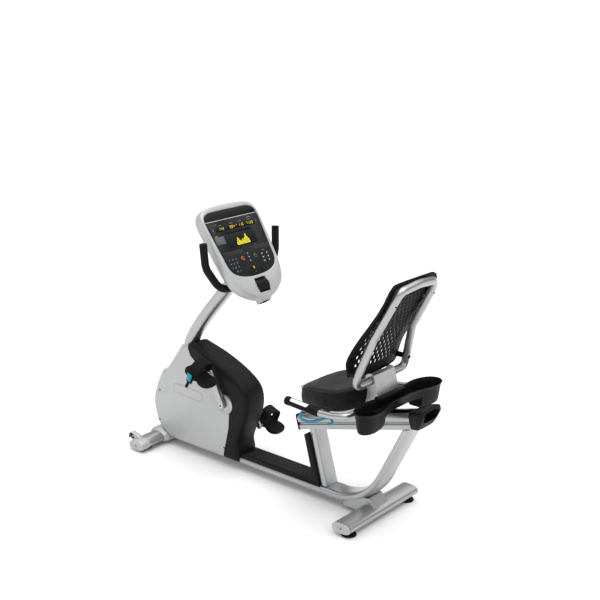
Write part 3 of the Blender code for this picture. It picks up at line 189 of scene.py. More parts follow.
MOULDED = (
    ("grey_plastic", (0.450, 0.454, 0.458), 0.40, {"metallic": 0.25, "spread": 0.02}),
    ("black_plastic", (0.0052, 0.0052, 0.0055), 0.48, {"grain": 1100.0, "spread": 0.15, "specular": 0.14}),
    ("console_overlay", (0.0115, 0.0135, 0.0150), 0.34, {"grain": 500.0, "depth": 0.00001, "specular": 0.18}),
    ("rubber", (0.0048, 0.0048, 0.0050), 0.66,
     {"grain": 700.0, "depth": 0.0002, "spread": 0.2, "specular": 0.14}),
    ("cast_iron", (0.07, 0.07, 0.075), 0.55, {"grain": 500.0, "metallic": 0.8}),
    ("blue_plastic", (0.001, 0.265, 0.420), 0.40, {"spread": 0.04, "specular": 0.3}),
    ("green_key", (0.02, 0.30, 0.08), 0.40, {"spread": 0.04}),
    ("orange_key", (0.75, 0.24, 0.02), 0.40, {"spread": 0.04}),
    ("dark_steel", (0.030, 0.030, 0.032), 0.38, {"grain": 500.0, "metallic": 0.7}),
    ("soft_grip", (0.0050, 0.0050, 0.0053), 0.60,
     {"grain": 520.0, "depth": 0.0003, "spread": 0.15, "specular": 0.14}),
    ("hub_grey", (0.20, 0.20, 0.205), 0.45, {}),
    ("shell_plastic", (0.0052, 0.0052, 0.0055), 0.52,
     {"grain": 700.0, "depth": 0.00015, "spread": 0.12, "specular": 0.14}),
    ("gloss_black", (0.0025, 0.0025, 0.0028), 0.20, {"grain": 200.0, "depth": 0.000005, "specular": 0.18}),
    ("dark_panel", (0.0060, 0.0064, 0.0066), 0.36, {"grain": 600.0, "depth": 0.00002, "specular": 0.18}),
    ("membrane", (0.0110, 0.0128, 0.0140), 0.42, {"depth": 0.00004, "specular": 0.18}),
    ("key_plastic", (0.0125, 0.0145, 0.0158), 0.40, {"grain": 800.0, "depth": 0.00004, "specular": 0.20}),
    ("patch_grey", (0.060, 0.066, 0.072), 0.45, {"grain": 700.0}),
    ("print_grey", (0.30, 0.31, 0.32), 0.50, {"grain": 700.0, "spread": 0.03}),
    ("white_print", (0.68, 0.69, 0.70), 0.45, {"grain": 700.0, "spread": 0.02}),
    ("green_print", (0.030, 0.220, 0.060), 0.45, {"grain": 700.0, "spread": 0.03}),
    ("dark_print", (0.030, 0.030, 0.032), 0.55, {"grain": 700.0}),
    ("ledge_plastic", (0.020, 0.0185, 0.0185), 0.40, {"specular": 0.25}),
    ("badge_rim", (0.42, 0.425, 0.42), 0.35, {"metallic": 0.4, "spread": 0.02}),
    ("badge_plate", (0.46, 0.465, 0.45), 0.45, {"metallic": 0.2, "spread": 0.03}),
    ("rubber_ribs", (0.0065, 0.0065, 0.0065), 0.66,
     {"grain": 600.0, "depth": 0.0002, "spread": 0.2, "specular": 0.25}),
    ("tread_ribs", (0.024, 0.024, 0.0245), 0.58,
     {"grain": 700.0, "depth": 0.0002, "spread": 0.12, "specular": 0.25}),
)
M = {name: moulded(name, colour, roughness, **extra) for name, colour, roughness, extra in MOULDED}
M["silver_paint"] = painted("silver_paint", (0.410, 0.413, 0.418), 0.32, 0.92)
M["rail_aluminium"] = machined("rail_aluminium", (0.40, 0.405, 0.41), 0.38, (1.0, 60.0, 60.0))
M["bright_steel"] = machined("bright_steel", (0.60, 0.60, 0.61), 0.25)
M["bright_metal"] = machined("bright_metal", (0.66, 0.66, 0.67), 0.28)
M["chrome"] = machined("chrome", (0.78, 0.78, 0.79), 0.16, (4.0, 4.0, 60.0), 60.0)
M["seat_vinyl"] = upholstery("seat_vinyl", (0.0062, 0.0062, 0.0065))
M["welt"] = upholstery("welt", (0.0105, 0.0105, 0.0110))
M["seat_mesh"] = woven("seat_mesh", (0.0075, 0.0075, 0.0079))
M["led_yellow"] = glowing("led_yellow", (0.86, 0.72, 0.02), 0.70)
M["led_red"] = glowing("led_red", (0.85, 0.03, 0.02), 0.80)

for row in frame["record"]["subparts"]:
    materials = NODES[row["node"]].data.materials
    materials.clear()
    materials.append(M[row["material_slot"]])


# ---------------------------------------------------------------- mesh helpers

SHIFT = Vector((0.0132, 0.0, -0.0150))       # from the drawing's own origin to the row frame
YZX = Matrix(((0, 0, 1, 0), (1, 0, 0, 0), (0, 1, 0, 0), (0, 0, 0, 1)))     # turns local X, Y, Z to Y, Z, X


def tilted(angle, origin):
    """A frame at a point of the drawing, tilted so that its X axis rises towards +X by the angle."""
    return Matrix.Translation(at(*origin)) @ Matrix.Rotation(-angle, 4, "Y")


def at(x, y, z):
    return Vector((x, y, z)) + SHIFT


def new_object(name, shape, turn=True):
    """An object of a shape, with its faces turned outwards unless told not to."""
    mesh = bpy.data.meshes.new(name)
    mesh.from_pydata([tuple(v) for v in shape.verts], [], shape.faces)
    if turn:
        bm = bmesh.new()
        bm.from_mesh(mesh)
        bmesh.ops.recalc_face_normals(bm, faces=bm.faces)
        bm.to_mesh(mesh)
        bm.free()
    made = bpy.data.objects.new(name, mesh)
    bpy.context.scene.collection.objects.link(made)
    return made


def way_along(points, i, closed=False):
    """The direction of a polyline at one of its points."""
    before = points[i - 1] if closed or i else points[0]
    after = points[(i + 1) % len(points)] if closed or i < len(points) - 1 else points[-1]
    return (after - before).normalized()


class Shape:
    """Vertices and faces gathered for one piece."""

    def __init__(self):
        self.verts, self.faces = [], []

    def add(self, verts, faces, matrix=None):
        first = len(self.verts)
        self.verts += [matrix @ Vector(v) if matrix else Vector(v) for v in verts]
        self.faces += [tuple(first + i for i in face) for face in faces]
        return self

    def loft(self, rings, matrix=None, closed=False, cap=True):
        """Rings of equal length joined by quads, with flat ends unless closed or not capped."""
        count, rows = len(rings[0]), len(rings)
        faces = []
        for r in range(rows if closed else rows - 1):
            a, b = r * count, ((r + 1) % rows) * count
            for i in range(count):
                j = (i + 1) % count
                faces.append((a + i, a + j, b + j, b + i))
        if cap and not closed:
            faces.append(tuple(reversed(range(count))))
            faces.append(tuple(range((rows - 1) * count, rows * count)))
        return self.add([v for ring in rings for v in ring], faces, matrix)

    def lathe(self, profile, segments=32, matrix=None, closed=False):
        """A turned solid round local Z from (radius, height) points."""
        turns = [math.tau * i / segments for i in range(segments)]
        circle = [(math.cos(a), math.sin(a)) for a in turns]
        rings = [[(radius * x, radius * y, height) for x, y in circle] for radius, height in profile]
        return self.loft(rings, matrix, closed)

    def pipe(self, points, radius, segments=24, closed=False):
        """A round bar along points."""
        points = [Vector(p) for p in points]
        ways = [way_along(points, i, closed) for i in range(len(points))]
        side = ways[0].orthogonal().normalized()
        if abs(ways[0].z) < 0.9:
            side = ways[0].cross(Vector((0, 0, 1))).normalized()
        turns = [math.tau * k / segments for k in range(segments)]
        rings = []
        for i, (point, way) in enumerate(zip(points, ways)):
            if i:
                side = ways[i - 1].rotation_difference(way) @ side
            side = (side - way * side.dot(way)).normalized()
            up = side.cross(way)
            rings.append([point + (side * math.cos(a) + up * math.sin(a)) * radius for a in turns])
        return self.loft(rings, closed=closed)

    def slab(self, outline, low, high, matrix=None, edge=0.0):
        """An outline in local XY raised from low to high, with its top edge rounded over by edge."""
        rings = [[(a, b, low) for a, b in inset_outline(outline, 0.0)]]
        for angle in (0.0, math.pi / 4, math.pi / 2) if edge else (math.pi / 2,):
            ring = inset_outline(outline, edge * (1 - math.cos(angle)))
            rings.append([(a, b, high - edge + edge * math.sin(angle)) for a, b in ring])
        return self.loft(rings, matrix)

    def box(self, low, high, matrix=None):
        (x0, y0, z0), (x1, y1, z1) = low, high
        rings = [[(x0, y0, z), (x1, y0, z), (x1, y1, z), (x0, y1, z)] for z in (z0, z1)]
        return self.loft(rings, matrix)

    def build(self, name, look, body="frame", replaces=None, angle=38.0, bevel=0.0, slot=None):
        """Makes the piece, with sharp edges past the angle, and lets it ride on its body."""
        piece = new_object(name, self)
        piece.data.shade_smooth()
        piece.data.set_sharp_from_angle(angle=math.radians(angle))
        piece.data.materials.append(M[look])
        if bevel:
            mod = piece.modifiers.new("edges", "BEVEL")
            mod.width = bevel
            mod.segments = 2
            mod.limit_method = "ANGLE"
            mod.angle_limit = math.radians(35)
        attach(piece, body)
        if replaces:
            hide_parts(replaces)
        return piece


def carve(shape, cutters):
    """The shape with other shapes cut out of it."""
    block = new_object("carve_block", shape)
    tools = [new_object("carve_tool", tool) for tool in cutters]
    for tool in tools:
        mod = block.modifiers.new("cut", "BOOLEAN")
        mod.operation = "DIFFERENCE"
        mod.solver = "EXACT"
        mod.object = tool
    mesh = bpy.data.meshes.new_from_object(block.evaluated_get(bpy.context.evaluated_depsgraph_get()))
    if not mesh.polygons:
        raise RuntimeError("carving left nothing")
    for made in (block, *tools):
        bpy.data.objects.remove(made)
    return Shape().add([v.co for v in mesh.vertices], [tuple(p.vertices) for p in mesh.polygons])


def turned_area(outline):
    return sum(a[0] * b[1] - b[0] * a[1] for a, b in zip(outline, outline[1:] + outline[:1])) / 2


def inset_outline(outline, distance):
    """An outline turned anticlockwise and moved inwards along its corners' bisectors."""
    if turned_area(outline) < 0:
        outline = outline[::-1]
    if distance == 0:
        return [tuple(p) for p in outline]
    found = []
    for i, p in enumerate(outline):
        p, before, after = Vector(p), Vector(outline[i - 1]), Vector(outline[(i + 1) % len(outline)])
        u, v = p - before, after - p
        if u.length < 1e-9 or v.length < 1e-9:
            found.append(tuple(p))
            continue
        u.normalize()
        v.normalize()
        n = Vector((-u.y - v.y, u.x + v.x))
        if n.length < 1e-6:
            n = Vector((-u.y, u.x))
        n.normalize()
        lean = max(0.45, n.dot(Vector((-u.y, u.x))))
        found.append(tuple(p + n * (distance / lean)))
    return found


def rounded_box(width, height, radius, steps=4, centre=(0.0, 0.0)):
    """An anticlockwise rectangle with round corners."""
    found = []
    for sx, sy, start in ((1, 1, 0), (-1, 1, 90), (-1, -1, 180), (1, -1, 270)):
        cx, cy = centre[0] + sx * (width / 2 - radius), centre[1] + sy * (height / 2 - radius)
        found += arc((cx, cy), radius, start, start + 90, steps)
    return found


def arc(centre, radius, start, end, steps):
    """Points of a circle from one angle in degrees to another."""
    turns = [math.radians(start + (end - start) * k / steps) for k in range(steps + 1)]
    return [(centre[0] + radius * math.cos(a), centre[1] + radius * math.sin(a)) for a in turns]


def between(p0, p1, p2, p3, t):
    """The Catmull-Rom value from p1 to p2."""
    return 0.5 * (2 * p1 + (p2 - p0) * t + (2 * p0 - 5 * p1 + 4 * p2 - p3) * t * t
                  + (3 * p1 - p0 - 3 * p2 + p3) * t ** 3)


def curve_through(points, steps=4, closed=False):
    """A Catmull-Rom curve through points of any size."""
    points = [Vector(p) for p in points]
    count = len(points)
    found = []
    for i in range(count if closed else count - 1):
        p1, p2 = points[i], points[(i + 1) % count]
        p0 = points[i - 1] if closed or i else p1
        p3 = points[(i + 2) % count] if closed or i + 2 < count else p2
        found += [between(p0, p1, p2, p3, k / steps) for k in range(steps)]
    return found if closed else found + [points[-1]]


def half_plan(points, steps):
    """A curve through one half of an outline, as plain tuples."""
    return [tuple(p) for p in curve_through(points, steps)]


def mirrored(half):
    """The whole outline of a half that starts and ends on the axis, mirrored in the first number."""
    return half + [(-a, b) for a, b in reversed(half[1:-1])]


def mirrored_y(half):
    """The same, for points whose second number is Y, on a plane or in space."""
    return half + [(p[0], -p[1], *p[2:]) for p in reversed(half[1:-1])]


def corner_arc(before, here, after, radius, steps):
    """The points that round one corner of a polyline."""
    a, b = before - here, after - here
    reach = min(radius * math.tan((math.pi - a.angle(b)) / 2), 0.45 * a.length, 0.45 * b.length)
    first, last = here + a.normalized() * reach, here + b.normalized() * reach
    shares = [k / steps for k in range(steps + 1)]
    return [first * (1 - t) ** 2 + here * 2 * t * (1 - t) + last * t ** 2 for t in shares]


def round_corners(corners, radius, steps):
    """A polyline with its inner corners rounded, in the row frame."""
    corners = [Vector(c) for c in corners]
    route = [corners[0]]
    for before, here, after in zip(corners, corners[1:], corners[2:]):
        route += corner_arc(before, here, after, radius, steps)
    return [p + SHIFT for p in (*route, corners[-1])]


def surface(node, point, direction):
    """Where a ray from a point of the row frame meets a CAD node: (place, outward normal)."""
    direction = Vector(direction).normalized()
    hit, place, normal, _ = NODES[node].ray_cast(Vector(point), direction)
    if not hit:
        raise RuntimeError("the ray misses " + node)
    return place, (normal if normal.dot(direction) < 0 else -normal)


def side_spot(node, sign, x, z, reach=0.3):
    """Where a level ray from one side meets a CAD node."""
    return surface(node, at(x, sign * reach, z), (0, -sign, 0))


def stand_on(place, normal, up=(0, 0, 1)):
    """A frame at a place whose Z is the surface's normal, and whose Y leans towards up."""
    z = Vector(normal).normalized()
    x = Vector(up).cross(z)
    if x.length < 1e-6:
        x = Vector((1, 0, 0))
    x.normalize()
    return Matrix.Translation(place) @ Matrix((x, z.cross(x), z)).transposed().to_4x4()


def add_screw(shape, place, normal, radius, proud=0.0008):
    """A button-head screw: a domed head with a socket."""
    sink = 0.0015
    shape.lathe([
        (radius, -sink), (radius, proud * 0.35), (radius * 0.93, proud * 0.75), (radius * 0.75, proud),
        (radius * 0.52, proud * 1.05), (radius * 0.48, proud * 0.9), (radius * 0.46, -sink * 0.6),
    ], 24, stand_on(place, normal))


# ---------------------------------------------------------------- tubes, grips and handles

def back_tube_route():
    """The seat-back tube: a closed loop, kinked back at half height, with an arched top."""
    corners = mirrored_y([
        (0.592, 0.0, 0.7125), (0.592, 0.185, 0.7125), (0.612, 0.178, 0.790), (0.657, 0.149, 0.935),
        (0.755, 0.143, 1.115), (0.780, 0.128, 1.170), (0.786, 0.0, 1.183)])
    radii = (None, 0.055, 0.08, 0.10, 0.09, 0.075, 0.3)
    corners = [Vector(c) for c in corners]
    route, count = [], len(corners)
    for i, here in enumerate(corners):
        radius = radii[min(i, count - i)]
        route += corner_arc(corners[i - 1], here, corners[(i + 1) % count], radius, 10) if radius else [here]
    return [p + SHIFT for p in route]


def make_tubes():
    """The seat-back tube and the bar that carries the side grips."""
    Shape().pipe(back_tube_route(), 0.0190, 36, closed=True).build(
        "seat_back_tube", "silver_paint", "seat", "back_frame")
    half = [(0.604, 0.0, 0.602), (0.604, 0.170, 0.602), (0.590, 0.252, 0.594), (0.520, 0.256, 0.582),
            (0.4455, 0.256, 0.578)]
    route = round_corners([(x, -y, z) for x, y, z in reversed(half[1:])] + half[1:], 0.075, 10)
    Shape().pipe(route, 0.0145, 30).build("side_tube", "silver_paint", "seat", "side_handlebar")


def make_side_grips():
    """Rubber grips with a bright pulse plate let into the top and the bottom of each."""
    for side, sign in SIDES:
        start, front = at(0.4436, sign * 0.256, 0.578), at(0.252, sign * 0.256, 0.590)
        along = (front - start).normalized()
        up = (Vector((0, 0, 1)) - along * along.z).normalized()
        place = Matrix.Translation(start) @ Matrix((along.cross(up), up, along)).transposed().to_4x4()
        Shape().lathe([
            (0.0148, -0.001), (0.0175, -0.001), (0.0190, 0.0010), (0.0198, 0.0040), (0.0198, 0.0090),
            (0.0192, 0.0100), (0.0192, 0.0120), (0.0198, 0.0130), (0.0198, 0.1640), (0.0192, 0.1652),
            (0.0192, 0.1668), (0.0205, 0.1682), (0.0212, 0.1710), (0.0213, 0.1840), (0.0206, 0.1875),
            (0.0188, 0.1905), (0.0150, 0.1918), (0.0, 0.1922),
        ], 40, place).build("rubber_grip_" + side, "rubber", "seat", "side_grip_" + side)
        plates = Shape()
        for top in (90, 270):
            rings = []
            for t, reach in (
                    (0.058, 0.80), (0.060, 0.92), (0.066, 1.0), (0.150, 1.0), (0.156, 0.92), (0.158, 0.80)):
                low, high = top - 58 * reach, top + 58 * reach
                outline = arc((0, 0), 0.0205, low, high, 10) + arc((0, 0), 0.0190, high, low, 10)
                rings.append([(a, b, t) for a, b in outline])
            plates.loft(rings, place)
        plates.build("pulse_plates_" + side, "chrome", "seat", angle=60)


def make_console_grips():
    """The black U-shaped handle behind the console, in one length of soft sleeve with a plug at each end."""
    route = round_corners([
        (-0.262, -0.255, 1.240), (-0.256, -0.248, 1.120), (-0.231, -0.175, 1.000),
        (-0.231, 0.175, 1.000), (-0.256, 0.248, 1.120), (-0.262, 0.255, 1.240)], 0.105, 12)
    tips = [(route[0], (route[0] - route[1]).normalized()), (route[-1], (route[-1] - route[-2]).normalized())]
    first, last = [tip - way * 0.0045 for tip, way in tips]
    shape = Shape().pipe([first, *route[1:-1], last], 0.0190, 36)
    for tip, way in tips:
        shape.lathe([(0.0180, -0.0046), (0.0188, -0.0040), (0.0194, -0.0020), (0.0190, -0.0006),
                     (0.0172, 0.0004), (0.0, 0.0008)], 36, stand_on(tip, way, (1, 0, 0)))
    shape.build("console_grip", "soft_grip", "frame", "console_handle")


# ---------------------------------------------------------------- seat

SEAT = tilted(math.radians(10.5), (0.165, 0.0, 0.524))
SEAT_CENTRE = 0.23                 # what the plan shrinks towards, along the seat


def seat_ring(z, shrink, steps=5):
    """One level of the cushion in the seat's own frame, with the front edge drawn down into a nose."""
    half = half_plan([
        (0.012, 0.000), (0.020, 0.060), (0.055, 0.116), (0.120, 0.162), (0.210, 0.194), (0.290, 0.206),
        (0.350, 0.200), (0.390, 0.165), (0.403, 0.110), (0.405, 0.060), (0.405, 0.000)], steps)
    ring = []
    for a, b in mirrored_y(half):
        keep = 1 - shrink / math.hypot(a - SEAT_CENTRE, b)
        a, b = SEAT_CENTRE + (a - SEAT_CENTRE) * keep, b * keep
        nose = max(0.0, 1 - a / 0.150) ** 2 * z / 0.086
        ring.append(Vector((a + 0.024 * nose, b, z - 0.030 * nose)))
    return ring


def puff(piece, pressure, limit, hold_below):
    """Inflates a closed form a little with cloth, caps how far each point moves, and applies it."""
    scene = bpy.context.scene
    remesh = piece.modifiers.new("even", "REMESH")
    remesh.mode = "VOXEL"
    remesh.voxel_size = 0.0055
    bpy.context.view_layer.update()
    even = bpy.data.meshes.new_from_object(piece.evaluated_get(bpy.context.evaluated_depsgraph_get()))
    piece.modifiers.clear()
    piece.data = even
    rest = [v.co.copy() for v in even.vertices]
    group = piece.vertex_groups.new(name="held")
    group.add([v.index for v in even.vertices if v.co.z < hold_below], 1.0, "REPLACE")
    cloth = piece.modifiers.new("cloth", "CLOTH")
    for setting, value in (
            ("quality", 5), ("mass", 0.3), ("tension_stiffness", 18), ("compression_stiffness", 18),
            ("bending_stiffness", 1.5), ("use_pressure", True), ("uniform_pressure_force", pressure),
            ("vertex_group_mass", "held")):
        setattr(cloth.settings, setting, value)
    cloth.settings.effector_weights.gravity = 0.0
    cloth.point_cache.frame_start, cloth.point_cache.frame_end = 1, 20
    for number in range(1, 21):
        scene.frame_set(number)
    moved = [v.co.copy() for v in piece.evaluated_get(bpy.context.evaluated_depsgraph_get()).data.vertices]
    piece.modifiers.clear()
    piece.vertex_groups.clear()
    scene.frame_set(1)
    for vertex, start, end in zip(piece.data.vertices, rest, moved):
        step = end - start
        if step.length > limit:
            step *= limit / step.length
        vertex.co = start + step


def make_cushion():
    """The padded seat: foam under a stretched cover, with a welted edge round its top panel."""
    cushion = new_object("seat_cushion_cover", Shape().loft([seat_ring(z, shrink) for z, shrink in (
        (0.0, 0.015), (0.004, 0.008), (0.014, 0.004), (0.034, 0.0025), (0.058, 0.003), (0.072, 0.004),
        (0.0775, 0.0055), (0.0800, 0.012), (0.0808, 0.022), (0.0805, 0.050), (0.0785, 0.100),
        (0.0775, 0.135))]),
        turn=False)
    puff(cushion, 4.0, 0.0045, 0.006)
    cushion.data.transform(SEAT)
    cushion.data.materials.clear()
    cushion.data.materials.append(M["seat_vinyl"])
    cushion.data.shade_smooth()
    mod = cushion.modifiers.new("smooth", "SUBSURF")
    mod.levels = mod.render_levels = 1
    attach(cushion, "seat")
    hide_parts("seat_cushion")

    for name, z, shrink, radius, segments in (
            ("seat_welt", 0.0800, 0.0065, 0.0019, 10), ("seat_lower_welt", 0.0030, 0.0085, 0.0016, 8)):
        Shape().pipe([SEAT @ p for p in seat_ring(z, shrink, 8)], radius, segments, closed=True).build(
            name, "welt", "seat")

    rings = [[p + Vector((0, 0, rise)) for p in seat_ring(z, shrink, 6)] for z, shrink, rise in (
        (0.0800, 0.026, -0.0020), (0.0816, 0.0272, 0.0010), (0.0822, 0.0300, 0.0020),
        (0.0824, 0.050, 0.0024), (0.0815, 0.090, 0.0018), (0.0805, 0.125, 0.0014))]
    top = Shape().loft(rings, SEAT, cap=False)
    top.faces.append(tuple(range(len(top.verts) - len(rings[0]), len(top.verts))))
    top.build("seat_top_panel", "seat_mesh", "seat", angle=70)


def back_side(z):
    """X of the seat-back tube's middle at a height."""
    points = ((0.7125, 0.592), (0.770, 0.6090), (0.819, 0.6240), (0.935, 0.6570), (1.115, 0.7550),
              (1.185, 0.7820), (1.25, 0.7900))
    for (z0, x0), (z1, x1) in zip(points, points[1:]):
        if z <= z1:
            return x0 + (x1 - x0) * (z - z0) / (z1 - z0)
    return points[-1][1]


# Height, half width, wrap of the sides and distance in front of the tube.
SHELL_LEVELS = (
    (0.742, 0.138, 0.014, 0.026), (0.745, 0.150, 0.016, 0.026), (0.752, 0.164, 0.022, 0.0255),
    (0.763, 0.177, 0.029, 0.0245), (0.778, 0.1895, 0.036, 0.024), (0.820, 0.203, 0.044, 0.024),
    (0.870, 0.205, 0.036, 0.023), (0.940, 0.201, 0.016, 0.022), (1.020, 0.193, 0.006, 0.022),
    (1.100, 0.187, 0.000, 0.022), (1.150, 0.182, -0.004, 0.024), (1.172, 0.1755, -0.005, 0.0255),
    (1.187, 0.165, -0.005, 0.026), (1.195, 0.152, -0.004, 0.027), (1.199, 0.138, -0.003, 0.027),
)


def shell_level(z):
    """(x of the middle, half width, wrap) of the seat-back shell at a height, smoothly between the levels."""
    levels = SHELL_LEVELS
    last = len(levels) - 1
    i = max(k for k in range(last) if z >= levels[k][0] - 1e-9)
    rows = []
    for k in range(i - 1, i + 3):
        height, half, wrap, stand = levels[min(max(k, 0), last)]
        rows.append(Vector((back_side(height) - stand, half, wrap)))
    t = (z - levels[i][0]) / (levels[i + 1][0] - levels[i][0])
    return between(*rows, min(max(t, 0.0), 1.0))


def shell_point(share, z, out=0.0):
    """A point of the shell's rear face. Out is towards the rider."""
    middle, half, wrap = shell_level(z)
    return at(middle - wrap * abs(share) ** 2.2 - out, share * half, z)


def make_back_shell():
    """The perforated seat-back shell: staggered rows of slots in a plain border, with a rolled edge."""
    bottom, top, rows, half_cells, border = 0.7900, 1.1640, 17, 24, 0.86
    quarter = border / half_cells            # of a cell's width, as a share of the half width
    height = (top - bottom) / rows
    shape, index = Shape(), {}

    def point(u, z):
        key = (round(u, 5), round(z, 5))
        if key not in index:
            index[key] = len(shape.verts)
            shape.verts.append(shell_point(u, z))
        return index[key]

    def sheet(us, zs):
        """Plain quads over a grid."""
        for z0, z1 in zip(zs, zs[1:]):
            for a, b in zip(us, us[1:]):
                shape.faces.append((point(a, z0), point(b, z0), point(b, z1), point(a, z1)))

    def slotted(u, row):
        """One cell with a slot in it: a ring of quads between its edge and the slot."""
        low = bottom + row * height
        zs = [low + height * k / 4 for k in range(5)]
        edge = [(u + q * quarter, zs[0]) for q in range(5)] + [(u + 4 * quarter, zs[k]) for k in (1, 2, 3)]
        edge += [(u + q * quarter, zs[4]) for q in (4, 3, 2, 1, 0)] + [(u, zs[k]) for k in (3, 2, 1)]
        half_slot = 0.0036 - 0.0014 * row / rows
        straight = height * (0.80 - 0.28 * row / rows) / 2 - half_slot
        centre, middle = u + 2 * quarter, low + height / 2
        wide = half_slot / shell_level(middle)[1]
        hole = []
        for eu, ez in edge:
            dx, dz = (eu - centre) / (2 * quarter), (ez - middle) / (height / 2)
            angle = math.atan2(dz, dx)
            shift = straight if dz > 0.01 else -straight if dz < -0.01 else 0.0
            hole.append((centre + wide * math.cos(angle), middle + half_slot * math.sin(angle) + shift))
        for i in range(16):
            j = (i + 1) % 16
            shape.faces.append((point(*edge[i]), point(*edge[j]), point(*hole[j]), point(*hole[i])))

    for row in range(rows):
        zs = [bottom + row * height + height * k / 4 for k in range(5)]
        odd = row % 2
        if odd:
            for u in (-border, border - 2 * quarter):
                sheet([u, u + quarter, u + 2 * quarter], zs)
        for cell in range(half_cells // 2 - odd):
            slotted(-border + (2 * odd + 4 * cell) * quarter, row)
    grid = [-border + quarter * k for k in range(2 * half_cells + 1)]
    low = [0.742, 0.7435, 0.747, 0.752, 0.758, 0.766, 0.776, bottom]
    high = [top, 1.175, 1.184, 1.191, 1.1955, 1.1982, 1.199]
    levels = low[:-1] + [bottom + height * k / 4 for k in range(4 * rows)] + high
    sheet(grid, low)
    sheet(grid, high)
    for sign in (-1, 1):
        sheet([sign * u for u in (1.0, 0.965, 0.91, border)], levels)
    shell = shape.build("seat_back_shell", "shell_plastic", "seat", "back_shell", angle=50)
    solid = shell.modifiers.new("wall", "SOLIDIFY")
    solid.thickness = 0.0024
    solid.offset = 0.0
    solid.use_even_offset = True

    edge = [shell_point(-1, z) for z in levels] + [shell_point(u, 1.199) for u in grid]
    edge += [shell_point(1, z) for z in reversed(levels)] + [shell_point(u, 0.742) for u in reversed(grid)]
    rim = [edge[0]]
    for p in edge[1:]:
        if (p - rim[-1]).length > 0.006:
            rim.append(p)
    if (rim[0] - rim[-1]).length < 0.006:
        rim.pop()
    Shape().pipe(rim, 0.0042, 12, closed=True).build("seat_back_rim", "black_plastic", "seat", angle=70)

    bosses, caps = Shape(), Shape()
    for z, y in ((0.768, 0.1775), (1.110, 0.1431)):
        for _, sign in SIDES:
            x = back_side(z)
            start, end = shell_point(sign * y / shell_level(z)[1], z, 0.002), at(x - 0.0130, sign * y, z)
            length = (end - start).length
            bosses.lathe([(0.0185, 0.0), (0.0165, 0.003), (0.0135, 0.006), (0.0125, length * 0.6),
                          (0.0125, length)],
                         28, stand_on(start, end - start))
            caps.lathe([(0.0085, -0.006), (0.0085, 0.0022), (0.0076, 0.0034), (0.0045, 0.0042),
                        (0.0, 0.0044)],
                       24, stand_on(at(x + 0.0165, sign * y, z), (1, 0, 0)))
    bosses.build("shell_bosses", "black_plastic", "seat")
    caps.build("back_bolt_caps", "black_plastic", "seat")


# ---------------------------------------------------------------- console

FACE = tilted(math.radians(33.9), (-0.268, 0.0, 1.232))     # X out of the face, Y across it and Z up it
SCREEN = FACE @ YZX                # X across the face, Y up it and Z out of it
GLASS = 0.0012                     # the overlay's outer face, from the console's own face
LEVER = (-0.022, -0.2625)          # the thumb lever's pivot: out of the face and up it
KEY_ROW = -0.112
SOFT_KEYS = (("stop_key", -0.046, "orange_key"), ("start_key", 0.041, "green_key"))
OVERLAY = (
    (0.0, 0.149), (0.070, 0.148), (0.128, 0.146), (0.166, 0.132), (0.180, 0.100), (0.175, 0.000),
    (0.167, -0.090), (0.164, -0.135), (0.146, -0.172), (0.108, -0.195), (0.055, -0.207), (0.0, -0.210))
SEGMENTS = {
    "0": "abcdef", "1": "bc", "2": "abged", "3": "abgcd", "4": "fgbc", "5": "afgcd", "6": "afgedc",
    "7": "abc", "8": "abcdefg", "9": "abfgcd",
}


def face(out, u, v):
    """A point by its distance out of the console's face, across it (u) and up it (v)."""
    return FACE @ Vector((out, u, v))


def on_face(u, v, out=0.0):
    """A frame on the console's face."""
    return SCREEN @ Matrix.Translation((u, v, out))


def width_at(v):
    """Half width of the overlay at a height on the face."""
    half = half_plan(OVERLAY, 5)
    for (a0, b0), (a1, b1) in zip(half, half[1:]):
        if b1 <= v <= b0 and b0 - b1 > 1e-9:
            return a0 + (a1 - a0) * (b0 - v) / (b0 - b1)
    return 0.0


def plate(shape, outline, base=0.0, rise=0.0003, edge=0.0):
    """An outline on the console's face as a thin plate. Its base is measured from the overlay."""
    shape.slab(outline, GLASS + base, GLASS + base + rise, SCREEN, edge)


def tile(shape, size, radius, steps, centre, base=0.0, rise=0.0003, edge=0.0):
    """A rectangular plate with round corners."""
    plate(shape, rounded_box(*size, radius, steps, centre), base, rise, edge)


def disc(shape, u, v, radius, base, rise, segments=32):
    """A low round boss on the console's face."""
    shape.lathe([(radius, 0), (radius, rise * 0.6), (radius * 0.93, rise), (0.0, rise * 1.05)], segments,
                on_face(u, v, GLASS + base))


def band(shape, low, high, rise):
    """A plate across the whole overlay between two heights."""
    right = [(width_at(v) - 0.006, v) for v in (low + (high - low) * k / 10 for k in range(11))]
    plate(shape, right + [(-a, b) for a, b in reversed(right)], 0.0, rise, 0.0004)


def digit(shape, figure, u, v, width, height, stroke, base):
    """A seven-segment figure that leans a little."""
    lean, tip, side, half = 0.12, stroke / 2, width / 2, height / 2
    middles = {"a": (0, half), "g": (0, 0), "d": (0, -half), "f": (-side, half / 2), "b": (side, half / 2),
               "e": (-side, -half / 2), "c": (side, -half / 2)}
    for name in SEGMENTS[figure]:
        du, dv = middles[name]
        if name in "agd":
            a = (width - stroke * 0.6) / 2
            outline = [(-a, 0), (-a + tip, -tip), (a - tip, -tip), (a, 0), (a - tip, tip), (-a + tip, tip)]
        else:
            b = (half - stroke * 0.6) / 2
            outline = [(-tip, -b + tip), (0, -b), (tip, -b + tip), (tip, b - tip), (0, b), (-tip, b - tip)]
        plate(shape, [(u + du + x + lean * (dv + y), v + dv + y) for x, y in outline], base)


